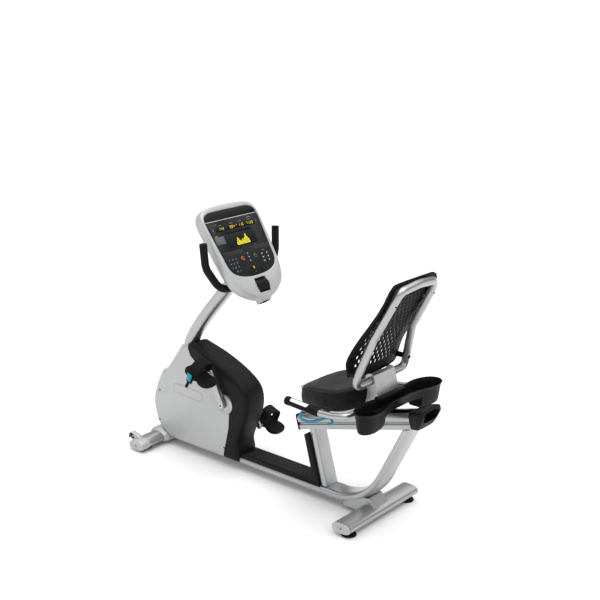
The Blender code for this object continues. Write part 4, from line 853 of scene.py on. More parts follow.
def make_display():
    """The display's dark windows and their frames, with what is lit or printed on them."""
    brow, line, windows, frames, lights, red, patch, dots, marks = (Shape() for _ in range(9))
    band(brow, 0.1030, 0.1400, 0.0005)
    brow.build("display_brow", "gloss_black")
    tile(line, (2 * (width_at(0.100) - 0.0035), 0.0022), 0.0009, 2, (0.0, 0.1000), 0.0, 0.0006)
    line.build("display_line", "white_print")

    for size, radius, centre, base, rise, edge in (
            ((0.272, 0.026), 0.003, (0.0, 0.0555), 0.0, 0.0004, 0.0003),
            ((0.176, 0.014), 0.002, (0.004, 0.0295), 0.0, 0.0009, 0.0004),
            ((0.118, 0.058), 0.002, (0.008, -0.0160), 0.0008, 0.0005, 0.0003),
            ((0.040, 0.019), 0.002, (-0.009, -0.1690), 0.0008, 0.0004, 0.0003)):
        tile(windows, size, radius, 4, centre, base, rise, edge)
    windows.build("display_windows", "gloss_black")
    tile(frames, (0.196, 0.078), 0.005, 5, (0.004, -0.0110), 0.0, 0.0009, 0.0005)
    tile(frames, (0.110, 0.052), 0.004, 5, (0.0, -0.1785), 0.0, 0.0009, 0.0005)
    frames.build("display_frames", "dark_panel")

    for figures, middle in (("142", -0.094), ("984", -0.020), ("116", 0.042), ("7120", 0.104)):
        for k, figure in enumerate(figures):
            u = middle + (k - (len(figures) - 1) / 2) * 0.0125
            digit(lights, figure, u, 0.0550, 0.0062, 0.0125, 0.0020, 0.0005)
    digit(lights, "8", -0.002, -0.1690, 0.0060, 0.0120, 0.0019, 0.0013)
    for column, height in enumerate((3, 5, 7, 6, 4, 3, 4, 5, 4, 5, 6, 8, 9, 6, 4)):
        for level in range(height):
            centre = (-0.0345 + 0.0060 * column, -0.0405 + 0.0056 * level)
            tile(lights, (0.0049, 0.0042), 0.0008, 1, centre, 0.0014)
    tile(lights, (0.0140, 0.0016), 0.0006, 1, (-0.150, 0.0225), 0.0014, 0.0002)
    lights.build("yellow_lights", "led_yellow")

    heart = mirrored([(0.0, -0.0042), (0.0040, 0.0002), (0.0040, 0.0026), (0.0022, 0.0036), (0.0, 0.0022)])
    plate(red, [(0.0105 + a, 0.0580 + b) for a, b in heart], 0.0005)
    red.build("red_light", "led_red")

    tile(patch, (0.064, 0.040), 0.004, 5, (-0.134, -0.0010), 0.0, 0.0012, 0.0006)
    patch.build("hint_patch", "patch_grey")
    for row in range(7):
        for column in range(12):
            dots.lathe([(0.0011, 0.0), (0.0010, 0.0003), (0.0, 0.0004)], 8,
                       on_face(-0.1605 + 0.0048 * column, -0.0165 + 0.0050 * row, GLASS + 0.0011))
    dots.build("hint_dots", "print_grey")

    for u, v, w, h in (
            (-0.094, 0.0735, 0.018, 0.0016), (-0.020, 0.0735, 0.018, 0.0016), (0.042, 0.0735, 0.018, 0.0016),
            (0.104, 0.0735, 0.018, 0.0016), (-0.120, 0.0820, 0.010, 0.0016), (0.112, 0.0850, 0.026, 0.0020),
            (0.072, -0.0580, 0.012, 0.0014), (0.108, -0.0960, 0.018, 0.0014), (-0.150, 0.0560, 0.0020, 0.012),
            (0.150, 0.0560, 0.0020, 0.012), (0.0, -0.1920, 0.010, 0.0014)):
        tile(marks, (w, h), min(w, h) * 0.4, 2, (u, v), 0.0001, 0.0011 if v < -0.1 else 0.0005)
    marks.build("printed_marks", "print_grey")


def make_keypad():
    """The membrane under the display, its keys and the signs on them."""
    membrane, keys, signs, ticks = (Shape() for _ in range(4))
    band(membrane, -0.1980, -0.0890, 0.0004)
    well = ((0.0, -0.008), (0.0122, -0.008), (0.0122, 0.008), (0.0, 0.008))
    wells = [Shape().lathe(well, 40, on_face(u, KEY_ROW)) for _, u, _ in SOFT_KEYS]
    carve(membrane, wells).build("keypad_membrane", "membrane")

    for row, figures in enumerate(("123", "456", "789", " 0-")):
        for column, figure in enumerate(figures):
            u, v = -0.1365 + 0.0215 * column, -0.1070 - 0.0205 * row
            if figure != " ":
                tile(keys, (0.0165, 0.0150), 0.0045, 5, (u, v), 0.0003, 0.0008, 0.0005)
            if figure == "-":
                tile(signs, (0.0060, 0.0012), 0.0004, 2, (u, v), 0.0011)
            elif figure != " ":
                digit(signs, figure, u, v, 0.0028, 0.0056, 0.0009, 0.0011)
    for v, shift in ((-0.1130, 0.0), (-0.1320, 0.0), (-0.1510, -0.004)):
        left, right = 0.0900 + shift, 0.1240 + shift
        for u in (left, right):
            tile(keys, (0.0270, 0.0150), 0.0065, 5, (u, v), 0.0003, 0.0008, 0.0005)
            for way in (-1, 1):
                tile(ticks, (0.0040, 0.0009), 0.0003, 1, (u + way * 0.0105, v - 0.0052), 0.0011, 0.0002)
        tile(signs, (0.0110, 0.0018), 0.0006, 2, (left, v + 0.0014), 0.0011)
        tile(signs, (0.0070, 0.0014), 0.0005, 2, (left - 0.002, v - 0.0022), 0.0011)
        disc(signs, right - 0.001, v + 0.0022, 0.0016, 0.0011, 0.0003, 12)
        coat = ((-0.0034, -0.0036), (0.0024, -0.0036), (0.0006, 0.0010), (-0.0020, 0.0010))
        plate(signs, [(right + a, v + b) for a, b in coat], 0.0011)
    for v, way in ((-0.0940, 1), (-0.1320, -1)):
        disc(keys, -0.003, v, 0.0085, 0.0003, 0.0009)
        arrow = ((0.0, 0.0036), (-0.00324, -0.00216), (0.00324, -0.00216))
        plate(signs, [(-0.003 + way * a, v + way * b) for a, b in arrow], 0.0012)
    disc(keys, -0.003, -0.1130, 0.0070, 0.0003, 0.0009)
    disc(signs, -0.003, -0.1130, 0.0026, 0.0012, 0.0003, 16)
    keys.build("membrane_keys", "key_plastic")
    signs.build("key_signs", "white_print")
    ticks.build("key_ticks", "green_print")


def make_stop_and_start():
    """The two round keys: a dished cap with a coloured ring and sign, in a collar."""
    for name, u, look in SOFT_KEYS:
        place = on_face(u, KEY_ROW)
        Shape().lathe([
            (0.0114, -0.0010), (0.0114, 0.0020), (0.0106, 0.0030), (0.0080, 0.0036), (0.0040, 0.0032),
            (0.0, 0.0031),
        ], 40, place).build(name + "_cap", "key_plastic", name, name)
        section = ((0.0088, 0.0032), (0.0088, 0.0038), (0.0104, 0.0034), (0.0104, 0.0029))
        ring = Shape().lathe(section, 40, place, closed=True)
        sign = [(-0.0022, -0.0030), (0.0034, 0.0), (-0.0022, 0.0030)]
        if name == "stop_key":
            sign = rounded_box(0.0050, 0.0050, 0.0008, 2)
        ring.slab(sign, 0.0031, 0.0035, place)
        ring.build(name + "_ring", look, name)
        Shape().lathe([(0.0120, 0.0), (0.0120, 0.0010), (0.0138, 0.0010), (0.0142, 0.0)], 40,
                      on_face(u, KEY_ROW, GLASS), closed=True).build(name + "_collar", "dark_panel")


def make_face_details():
    """The ledges that a book rests on, low at both ends, and the ribs on the thumb lever."""
    ledges, ribs = Shape(), Shape()
    profile = ((-0.0640, 0.0), (-0.0655, 0.0052), (-0.0680, 0.0078), (-0.0715, 0.0082), (-0.0750, 0.0060),
               (-0.0800, 0.0025), (-0.0850, 0.0))
    for _, sign in SIDES:
        rings = []
        for share, lift in ((0.0, 0.15), (0.04, 0.6), (0.10, 0.9), (0.30, 1.0), (0.85, 1.0), (0.96, 0.9),
                            (1.0, 0.55)):
            u = sign * (0.026 + (width_at(-0.076) - 0.030) * share)
            rings.append([(u, v, GLASS + out * lift) for v, out in profile])
        ledges.loft(rings, SCREEN)
    ledges.build("book_ledges", "ledge_plastic", angle=55)

    pivot = face(LEVER[0], 0.0, LEVER[1])
    for out, v in arc(LEVER, 0.0362, 66, -66, 6):
        centre = face(out, 0.0, v)
        place = stand_on(centre, centre - pivot, (0, 1, 0))
        ribs.slab(rounded_box(0.0026, 0.060, 0.0012, 3), -0.0012, 0.0008, place, 0.0005)
    ribs.build("lever_ribs", "rubber", "resistance_lever", slot="black_plastic")


def make_console_back_details():
    """Screws and a grille of short bars on the rear shell, and the bright tongue in the port."""
    screws, vents = Shape(), Shape()
    outwards, upwards = FACE.to_3x3() @ Vector((1, 0, 0)), FACE.to_3x3() @ Vector((0, 0, 1))
    for u, v in ((-0.172, 0.060), (0.172, 0.060), (-0.150, -0.200), (0.150, -0.200)):
        add_screw(screws, *surface("console_back", face(-0.2, u, v), outwards), 0.0050)
    screws.build("console_back_screws", "dark_steel")
    for k in range(9):
        for sign in (-1, 1):
            place, normal = surface("console_back", face(-0.2, sign * 0.055, 0.075 - 0.0085 * k), outwards)
            vents.slab(rounded_box(0.062, 0.0032, 0.0015, 4), -0.0005, 0.0006,
                       stand_on(place, normal, upwards))
    vents.build("console_vents", "black_plastic")
    Shape().slab(rounded_box(0.020, 0.0040, 0.0008, 2), 0.0, 0.0075,
                 FACE @ Matrix.Translation((-0.0255, 0.0, -0.3367)) @ YZX).build("port_tongue", "chrome")


# ---------------------------------------------------------------- drive housing, cranks and pedals

CRANK = (-0.317, 0.366)            # X and Z of the axle
PEDAL = half_plan([
    (-0.086, 0.000), (-0.083, 0.026), (-0.066, 0.046), (-0.036, 0.050), (-0.010, 0.043), (0.016, 0.043),
    (0.042, 0.052), (0.070, 0.049), (0.088, 0.028), (0.092, 0.000)], 5)


def make_housing_details():
    """Screws round the housing and its rear covers."""
    screws, dark = Shape(), Shape()
    for side, sign in SIDES:
        for x, z in ((-0.802, 0.322), (-0.811, 0.151)):
            add_screw(screws, *side_spot("shroud_" + side, sign, x, z), 0.0060, 0.0009)
        for x, z in ((-0.573, 0.570), (-0.142, 0.285), (-0.330, 0.122), (-0.330, 0.465)):
            for node in ("rear_cover_upper", "rear_cover_lower", "shroud_" + side):
                found, place, normal, _ = NODES[node].ray_cast(at(x, sign * 0.3, z), Vector((0, -sign, 0)))
                if found and place.y * sign > 0.02:
                    add_screw(dark, place, normal if normal.y * sign > 0 else -normal, 0.0060, 0.0009)
                    break
    screws.build("housing_screws", "black_plastic")
    dark.build("cover_screws", "black_plastic")


def make_badges():
    """The blank, pill-shaped badge on each side: a thin plate in a raised rim, fitted to the housing."""
    pill = rounded_box(0.222, 0.055, 0.027, 10)
    lean = Matrix.Rotation(math.radians(-3.0), 2)

    def fitted(side, sign, levels):
        rings = []
        for shrink, out in levels:
            spots = [lean @ Vector(p) + Vector((-0.585, 0.360)) for p in inset_outline(pill, shrink)]
            lift = Vector((0, sign * out, 0))
            rings.append([side_spot("shroud_" + side, sign, *p)[0] + lift for p in spots])
        return rings

    for side, sign in SIDES:
        Shape().loft(fitted(side, sign, (
            (0.0, -0.0010), (0.0004, 0.0012), (0.0016, 0.0020), (0.0034, 0.0020), (0.0044, 0.0010),
            (0.0044, -0.0010))), closed=True).build("badge_rim_" + side, "badge_rim", angle=60)
        Shape().loft(fitted(side, sign, (
            (0.0043, -0.0010), (0.0043, 0.0008), (0.0060, 0.0011), (0.0120, 0.0012)))).build(
                "badge_plate_" + side, "badge_plate", angle=60)


def make_crank_details():
    """The crank bolts in their collars, and the rings turned on the crank discs."""
    for side, sign in SIDES:
        place = stand_on(at(CRANK[0], sign * 0.1070, CRANK[1]), (0, sign, 0))
        Shape().lathe([
            (0.0122, -0.004), (0.0122, 0.0006), (0.0112, 0.0018), (0.0090, 0.0022), (0.0078, 0.0020),
            (0.0076, 0.0004), (0.0, 0.0004),
        ], 32, place).build("crank_bolt_collar_" + side, "bright_metal", "crank")
        Shape().lathe([
            (0.0064, 0.0), (0.0064, 0.0016), (0.0056, 0.0024), (0.0032, 0.0025), (0.0030, 0.0008),
            (0.0, 0.0008),
        ], 6, place).build("crank_bolt_" + side, "dark_steel", "crank", angle=20)
        low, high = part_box("crank_disc_" + side)
        radius, outer = (high.x - low.x) / 2, max(abs(low.y), abs(high.y)) - 0.0002
        place = stand_on(at(CRANK[0], sign * outer, CRANK[1]), (0, sign, 0))
        rings = Shape()
        for middle, shoulder, crown in ((0.70, 0.0011, 0.0015), (0.34, 0.0009, 0.0012)):
            profile = ((-0.04, -0.001), (-0.03, shoulder), (0.0, crown), (0.03, shoulder), (0.04, -0.001))
            rings.lathe([(radius * (middle + off), rise) for off, rise in profile], 48, place, closed=True)
        rings.build("crank_disc_rings_" + side, "silver_paint", "crank", angle=60)


def pedal_place(sign):
    """A pedal's own frame: X along it, Y away from the bike and Z up from its sole."""
    turn = math.radians(24.7) + (math.pi if sign > 0 else 0.0)
    spindle = (CRANK[0] - 0.175 * math.sin(turn), sign * 0.172, CRANK[1] + 0.175 * math.cos(turn))
    return tilted(math.radians(-21.7), spindle) @ Matrix.Scale(sign, 4, (0, 1, 0))


def pedal_reach(b):
    """Lowest and highest position along the pedal at a distance b from its middle."""
    found = [a0 + (a1 - a0) * (b - b0) / (b1 - b0) for (a0, b0), (a1, b1) in zip(PEDAL, PEDAL[1:])
             if (b0 - b) * (b1 - b) <= 0 and b0 != b1]
    return (min(found), max(found)) if found else (0, 0)


def rib_section(x, y, foot, crest, low, high):
    """The corners of a low rib across X: half widths of its foot and crest, and their heights."""
    corners = ((x, y - foot, low), (x, y - crest, high), (x, y + crest, high), (x, y + foot, low))
    return [Vector(corner) for corner in corners]


def across(points, i):
    """The direction square to a flat polyline at one of its points."""
    way = way_along(points, i)
    return Vector((-way.y, way.x))


def make_sole(side, place):
    """The ribbed, two-lobed sole."""
    body = "pedal_" + side
    sole = Shape().loft([[(a * share, b * share, z) for a, b in mirrored_y(PEDAL)] for z, share in (
        (-0.0130, 0.79), (-0.0118, 0.88), (-0.0085, 0.955), (-0.0030, 0.990), (0.0060, 1.0), (0.0095, 0.990),
        (0.0112, 0.965), (0.0112, 0.90))], place)
    sole.lathe([(0.0135, -0.0440), (0.0135, 0.0440)], 24, place @ Matrix.Rotation(math.radians(90), 4, "X"))
    sole.build("pedal_body_" + side, "rubber", body, body, angle=45)
    ribs = Shape()
    for k in range(-8, 9):
        b = 0.0054 * k
        low, high = pedal_reach(abs(b))
        if high - low > 0.03:
            low, high = low * 0.90 + 0.001, high * 0.90 - 0.001
            ends = ((low, 0.0114), (low + 0.002, 0.0130), (high - 0.002, 0.0130), (high, 0.0114))
            ribs.loft([rib_section(a, b, 0.0017, 0.0011, 0.0095, top) for a, top in ends], place)
    ribs.build("pedal_ribs_" + side, "rubber_ribs", body, angle=30)


def make_strap(side, place):
    """The wide moulded strap loop, its tail and the studs that the tail hooks on."""
    body = "pedal_" + side
    loop = curve_through([(-0.046, 0.016), (-0.052, 0.050), (-0.034, 0.078), (0.004, 0.086), (0.038, 0.070),
                          (0.056, 0.040), (0.0605, -0.024)], 7)
    rings = []
    for i, p in enumerate(loop):
        bulge, out = math.sin(math.pi * i / (len(loop) - 1)), across(loop, i)
        low, high = -0.030 - 0.008 * bulge, 0.008 + 0.013 * bulge
        rings.append([(a, *(p + out * lift)) for a, lift in (
            (low, 0.0012), (low + 0.0012, 0.0), (high - 0.0012, 0.0), (high, 0.0012), (high, 0.0026),
            (high - 0.0016, 0.0036), (high - 0.0040, 0.0031), (low + 0.0040, 0.0031), (low + 0.0016, 0.0036),
            (low, 0.0026))])
    Shape().loft(rings, place).build("strap_loop_" + side, "rubber", body, "pedal_strap_" + side, angle=50)

    tail = curve_through([(0.0655, -0.010), (0.0665, -0.026), (0.0690, -0.040), (0.0740, -0.052)], 5)
    rings = []
    for i, p in enumerate(tail):
        out = across(tail, i) * 0.0013
        wide = 0.0085 - 0.0035 * max(0.0, i / (len(tail) - 1) - 0.8) / 0.2
        corners = ((-wide, -1), (wide, -1), (wide, 1), (-wide, 1))
        rings.append([(-0.011 + a, *(p + out * way)) for a, way in corners])
    Shape().loft(rings, place).build("strap_tail_" + side, "rubber", body, bevel=0.0004)

    studs, upright = Shape(), Matrix.Rotation(math.radians(-90), 4, "X")
    for z in (0.010, 0.020, 0.030):
        studs.lathe([(0.0024, -0.001), (0.0024, 0.0040), (0.0018, 0.0046), (0.0, 0.0047)], 14,
                    place @ Matrix.Translation((-0.011, 0.0595, z)) @ upright)
    studs.build("strap_studs_" + side, "rubber", body)


def make_pedal_details():
    """Both pedals, each with the end of its spindle."""
    for side, sign in SIDES:
        place = pedal_place(sign)
        make_sole(side, place)
        make_strap(side, place)
        Shape().lathe([
            (0.0072, 0.0), (0.0072, 0.0035), (0.0060, 0.0046), (0.0036, 0.0048), (0.0034, 0.0030),
            (0.0, 0.0030),
        ], 24, stand_on(place @ Vector((0, 0.0495, 0)), (0, sign, 0))).build(
            "spindle_end_" + side, "dark_steel", "crank")


# ---------------------------------------------------------------- floor frame and rail

RAIL = tilted(math.radians(15.2), (0.160, 0.0, 0.352))      # X along the rail and Z square to it


def make_tread_ribs():
    """Lengthwise ribs on the step-through tread."""
    ribs = Shape()
    for k in range(12):
        y = -0.0440 + 0.0080 * k
        ribs.loft([[p + SHIFT for p in rib_section(x, y, 0.0024, 0.0017, 0.1115, top)] for x, top in (
            (-0.200, 0.11378), (-0.10, 0.1149), (0.0, 0.1149), (0.10, 0.1149), (0.170, 0.11378))])
    ribs.build("tread_ribs", "tread_ribs", angle=30)


def make_bolts():
    """Bolts on the fixed frame, and those on the sliding seat carriage."""
    fixed, sliding = Shape(), Shape()
    for side, sign in SIDES:
        for end, x, z in (("rear", 0.586, 0.058), ("front", -0.820, 0.048)):
            place, normal = side_spot(end + "_stabilizer_cap_" + side, sign, x, z, 0.5)
            add_screw(fixed, place, normal, 0.0052)
            fixed.lathe([(0.0018, -0.0006), (0.0018, 0.0004), (0.0, 0.0004)], 12,
                        stand_on(place + Vector((-0.018, 0, 0.0015)), normal))
        for node, x, z in (("front_upright", 0.2370, 0.3470), ("main_beam", 0.7480, 0.4700)):
            add_screw(fixed, *side_spot(node, sign, x, z), 0.0030, 0.0004)
        for x, z in ((0.452, 0.540), (0.545, 0.566)):
            sliding.lathe([
                (0.0058, -0.001), (0.0058, 0.0022), (0.0048, 0.0030), (0.0028, 0.0030), (0.0026, 0.0012),
                (0.0, 0.0012),
            ], 6, stand_on(*side_spot("seat_carriage", sign, x, z, 0.4)))
    fixed.build("frame_bolts", "black_plastic", angle=30)
    sliding.build("carriage_bolts", "dark_steel", "seat", angle=30)


def make_rail_scale():
    """A scale of short dark ticks along each side of the rail, with a longer tick at every fifth."""
    ticks = Shape()
    for _, sign in SIDES:
        for k in range(22):
            start = RAIL @ Vector((0.205 + 0.0105 * k, sign * 0.3, 0.0100))
            spot, normal = surface("seat_rail", start, (0, -sign, 0))
            half = 0.00225 if k % 5 else 0.00425
            ticks.slab([(-0.0005, -half), (0.0005, -half), (0.0005, half), (-0.0005, half)], -0.0003, 0.00025,
                       stand_on(spot, normal, RAIL.to_3x3() @ Vector((0, 0, 1))))
    ticks.build("rail_scale", "dark_print")


# These look for places on the plain CAD surfaces, so they come before those surfaces are smoothed.
for make in (make_tubes, make_side_grips, make_console_grips, make_cushion, make_back_shell, make_display,
             make_keypad, make_stop_and_start, make_face_details, make_console_back_details,
             make_housing_details, make_badges, make_crank_details, make_pedal_details, make_tread_ribs,
             make_bolts, make_rail_scale):
    make()


# ---------------------------------------------------------------- smooth surfaces for the CAD parts that stay

for node in NODES.values():
    mesh = node.data
    mesh.polygons.foreach_set("use_smooth", [True] * len(mesh.polygons))
    if "custom_normal" in mesh.attributes:
        mesh.attributes.remove(mesh.attributes["custom_normal"])
    weld = node.modifiers.new("join", "WELD")
    weld.merge_threshold = 0.00002
    split = node.modifiers.new("edges", "EDGE_SPLIT")
    split.split_angle = math.radians(38)
    split.use_edge_sharp = False


# ---------------------------------------------------------------- frame metalwork

def oval(a, b, count=48, power=2.0):
    """A rounded rectangle or ellipse as (first, second), anticlockwise."""
    found = []
    for i in range(count):
        c, s = math.cos(math.tau * i / count), math.sin(math.tau * i / count)
        x, y = (math.copysign(abs(share) ** (2 / power), share) for share in (c, s))
        found.append((a * x, b * y))
    return found


def sweep(path, section, point, normal):
    """A section of (y, across) points carried along an XZ path and cut off at its end by a plane."""
    points = [at(x, 0.0, z) for x, z in path]
    rings = []
    for i, p in enumerate(points):
        way = way_along(points, i)
        rings.append([p + Vector((-way.z * t, y, way.x * t)) for y, t in section])
    rings[-1] = [q + way * ((point - q).dot(normal) / way.dot(normal)) for q in rings[-1]]
    return Shape().loft(rings)


def make_mast():
    """The gently curved mast, cut off behind the console."""
    path = half_plan([
        (-0.655, 0.455), (-0.641, 0.540), (-0.616, 0.628), (-0.560, 0.715), (-0.489, 0.803), (-0.410, 0.890),
        (-0.340, 0.968), (-0.262, 1.050)], 8)
    sweep(path, oval(0.0385, 0.0335, 56, 2.4), face(-0.0704, 0, 0), FACE.to_3x3() @ Vector((1, 0, 0))).build(
        "mast_tube", "silver_paint", "frame", "mast", angle=60)


def make_beam():
    """The floor beam: level, then bent up to end under the rail."""
    corner, radius, turn = 0.552, 0.30, 63.2
    start = corner - radius * math.tan(math.radians(turn / 2))
    top = corner + 0.427 / math.tan(math.radians(turn))
    path = [(-0.765, 0.073), *arc((start, 0.073 + radius), radius, -90, turn - 90, 26), (top, 0.500)]
    section = oval(0.058, 0.023, 56, 3.0)
    under_rail, upwards = RAIL @ Vector((0, 0, -0.0004)), RAIL.to_3x3() @ Vector((0, 0, 1))
    sweep(path, section, under_rail, upwards).build(
        "floor_beam", "silver_paint", "frame", "main_beam", angle=60)


def make_stabilizers():
    """The two cross tubes: a straight one with its joint block at the rear, an arched one at the front."""
    section = oval(0.0525, 0.0255, 56, 2.3)
    rings = [[at(0.586 + a, y, 0.058 + b) for a, b in section] for y in (-0.262, -0.13, 0.0, 0.13, 0.262)]
    Shape().loft(rings).build("rear_cross_tube", "silver_paint", "frame", "rear_stabilizer", angle=60)
    wedge = ((0.430, 0.041), (0.560, 0.041), (0.600, 0.060), (0.620, 0.074), (0.577, 0.119), (0.540, 0.119),
             (0.430, 0.060))
    Shape().loft([[at(x, y, z) for x, z in wedge] for y in (-0.054, 0.054)]).build(
        "rear_joint_block", "silver_paint", bevel=0.0022)
    rings = []
    for share in (k / 12 for k in range(-12, 13)):
        rings.append([at(-0.820 + a, share * 0.236, 0.058 - 0.010 * share ** 2 + b) for a, b in section])
    Shape().loft(rings).build("front_cross_tube", "silver_paint", "frame", "front_stabilizer", angle=60)


def make_front_ends():
    """The front end caps, each with a hood over a small transport wheel."""
    section = oval(0.0525, 0.0255, 56, 2.3)
    wheel = (-0.8845, 0.0755)
    hood = [*arc(wheel, 0.0250, 205, 62, 18), (-0.850, 0.0945), (-0.832, 0.0880), (-0.815, 0.0740),
            (-0.835, 0.0600), (-0.870, 0.0560)]
    for side, sign in SIDES:
        rings = []
        for y, grow in ((0.1885, 0.0006), (0.1890, 0.0020), (0.2360, 0.0020), (0.2375, 0.0016),
                        (0.2420, 0.0010), (0.2432, -0.0002), (0.2440, -0.0022)):
            middle = 0.058 - 0.010 * min(y / 0.236, 1.0) ** 2
            wide, tall = 1 + grow / 0.0525, 1 + grow / 0.0255
            rings.append([at(-0.820 + a * wide, sign * y, middle + b * tall) for a, b in section])
        cap = Shape().loft(rings)
        cover = Shape().loft([[at(x, sign * y, z) for x, z in inset_outline(hood, shrink)] for y, shrink in (
            (0.1880, 0.0030), (0.1890, 0.0010), (0.1910, 0.0), (0.2130, 0.0), (0.2150, 0.0008),
            (0.2160, 0.0026))])
        circle = arc(wheel, 0.0202, 0, 351, 39)
        pocket = Shape().loft([[at(x, sign * y, z) for x, z in circle] for y in (0.1935, 0.230)])
        cover = carve(cover, [pocket])
        carve(cap, [pocket]).add(cover.verts, cover.faces).build(
            "front_end_cap_" + side, "grey_plastic", "frame", "front_stabilizer_cap_" + side, angle=50)
        place = stand_on(at(wheel[0], sign * 0.20175, wheel[1]), (0, 1, 0))
        body = "transport_wheel_" + side
        Shape().lathe([
            (0.0075, -0.0066), (0.0150, -0.0066), (0.0172, -0.0060), (0.0183, -0.0046), (0.0185, -0.0020),
            (0.0185, 0.0020), (0.0183, 0.0046), (0.0172, 0.0060), (0.0150, 0.0066), (0.0075, 0.0066),
        ], 40, place).build("wheel_tyre_" + side, "rubber", body, body)
        Shape().lathe([(0.0, -0.0078), (0.0050, -0.0076), (0.0074, -0.0068), (0.0074, 0.0068),
                       (0.0050, 0.0076), (0.0, 0.0078)], 28, place).build(
                           "wheel_hub_" + side, "hub_grey", body)


# ---------------------------------------------------------------- console mouldings

def face_rings(outline, levels):
    """Rings of an outline on the console's face, one for each (out, shrink) level."""
    rings = []
    for out, shrink in levels:
        keeps = [1 - shrink / math.hypot(a, b + 0.08) for a, b in outline]
        rings.append([face(out, a * keep, -0.08 + (b + 0.08) * keep) for (a, b), keep in zip(outline, keeps)])
    return rings


def make_console_shell():
    """The console's frame with its slot, the rear shell, the gap line between them and the thumb lever."""
    outer = mirrored(half_plan([
        (0.0, 0.180), (0.080, 0.178), (0.145, 0.170), (0.183, 0.146), (0.197, 0.100), (0.196, 0.000),
        (0.190, -0.110), (0.180, -0.190), (0.157, -0.250), (0.118, -0.290), (0.060, -0.322),
        (0.0, -0.333)], 6))
    bezel = Shape().loft([
        *face_rings(outer, ((-0.032, 0.0), (-0.014, 0.0), (-0.0085, 0.0005), (-0.0035, 0.0024),
                            (0.0005, 0.0056), (0.0030, 0.0100), (0.0040, 0.0150))),
        *face_rings(mirrored(half_plan(OVERLAY, 6)), (
            (0.0042, -0.0050), (0.0036, -0.0022), (0.0016, -0.0004), (-0.0100, -0.0002))),
        *face_rings(outer, ((-0.026, 0.006), (-0.032, 0.004))),
    ], closed=True)
    slot = Shape().slab(rounded_box(0.0790, 0.0765, 0.0060, 6, (0.0, -0.2617)), -0.062, 0.030, SCREEN)
    carve(bezel, [slot]).build("console_frame", "grey_plastic", "frame", "console_bezel", angle=40)
    Shape().loft(face_rings(outer, (
        (-0.0324, 0.0), (-0.0440, 0.0024), (-0.0520, 0.0075), (-0.0600, 0.0170), (-0.0660, 0.0300),
        (-0.0692, 0.0450), (-0.0700, 0.0600)))).build(
            "console_rear_shell", "grey_plastic", "frame", "console_back", angle=50)
    seam = face_rings(outer, ((-0.0322, 0.0004),))[0]
    Shape().pipe(seam, 0.0005, 6, closed=True).build("console_seam", "dark_print", slot="grey_plastic")

    paddle = [*arc(LEVER, 0.0360, 80, -80, 20), (-0.036, -0.2900), (-0.040, -0.2800), (-0.040, -0.2450),
              (-0.036, -0.2350)]
    rings = [[face(out, u, v) for out, v in inset_outline(paddle, shrink)] for u, shrink in (
        (-0.0385, 0.0030), (-0.0378, 0.0010), (-0.0362, 0.0), (0.0362, 0.0), (0.0378, 0.0010),
        (0.0385, 0.0030))]
    body = "resistance_lever"
    Shape().loft(rings).build("lever_paddle", "black_plastic", body, body, angle=30)


def make_port():
    """The accessory port under the chin: a small housing with a chamfered mouth."""
    rings = []
    for v, half, front in ((-0.318, 0.046, -0.004), (-0.330, 0.040, -0.009), (-0.3375, 0.034, -0.015),
                           (-0.3400, 0.031, -0.018)):
        outline = rounded_box(half * 2, 0.046, 0.010, 6, (0.0, front - 0.023))
        rings.append([face(out, u, v) for u, out in outline])
    Shape().loft(rings).build("console_chin", "grey_plastic", angle=60)
    centre = (0.0, -0.3367)
    body = Shape().loft([[face(out, u, v) for u, v in rounded_box(
        0.0480 - 2 * shrink, 0.0134 - 2 * shrink, 0.0028 - shrink * 0.6, 4, centre)] for out, shrink in (
            (-0.0500, 0.0020), (-0.0490, 0.0), (-0.0185, 0.0), (-0.0168, 0.0010), (-0.0165, 0.0026))])
    socket = Shape().loft([[face(out, u, v) for u, v in rounded_box(
        0.0300 + 2 * grow, 0.0078 + 2 * grow, 0.0014 + grow, 4, centre)] for out, grow in (
            (-0.0260, 0.0), (-0.0185, 0.0), (-0.0150, 0.0022))])
    carve(body, [socket]).build("port_body", "black_plastic", "frame", "accessory_port", angle=35)


# ---------------------------------------------------------------- tray, rail ends and the blue levers

def tray_loft(levels):
    """The tray's plan at several (height, shrink) levels."""
    plan = [tuple(p) for p in curve_through(mirrored_y([
        (0.721, 0.0), (0.7215, 0.060), (0.732, 0.120), (0.748, 0.175), (0.7545, 0.232), (0.741, 0.280),
        (0.708, 0.304), (0.672, 0.294), (0.643, 0.250), (0.632, 0.190), (0.639, 0.132), (0.6465, 0.085),
        (0.6475, 0.0)]), 8, closed=True)]
    return Shape().loft([[at(x, y, z) for x, y in inset_outline(plan, shrink)] for z, shrink in levels])


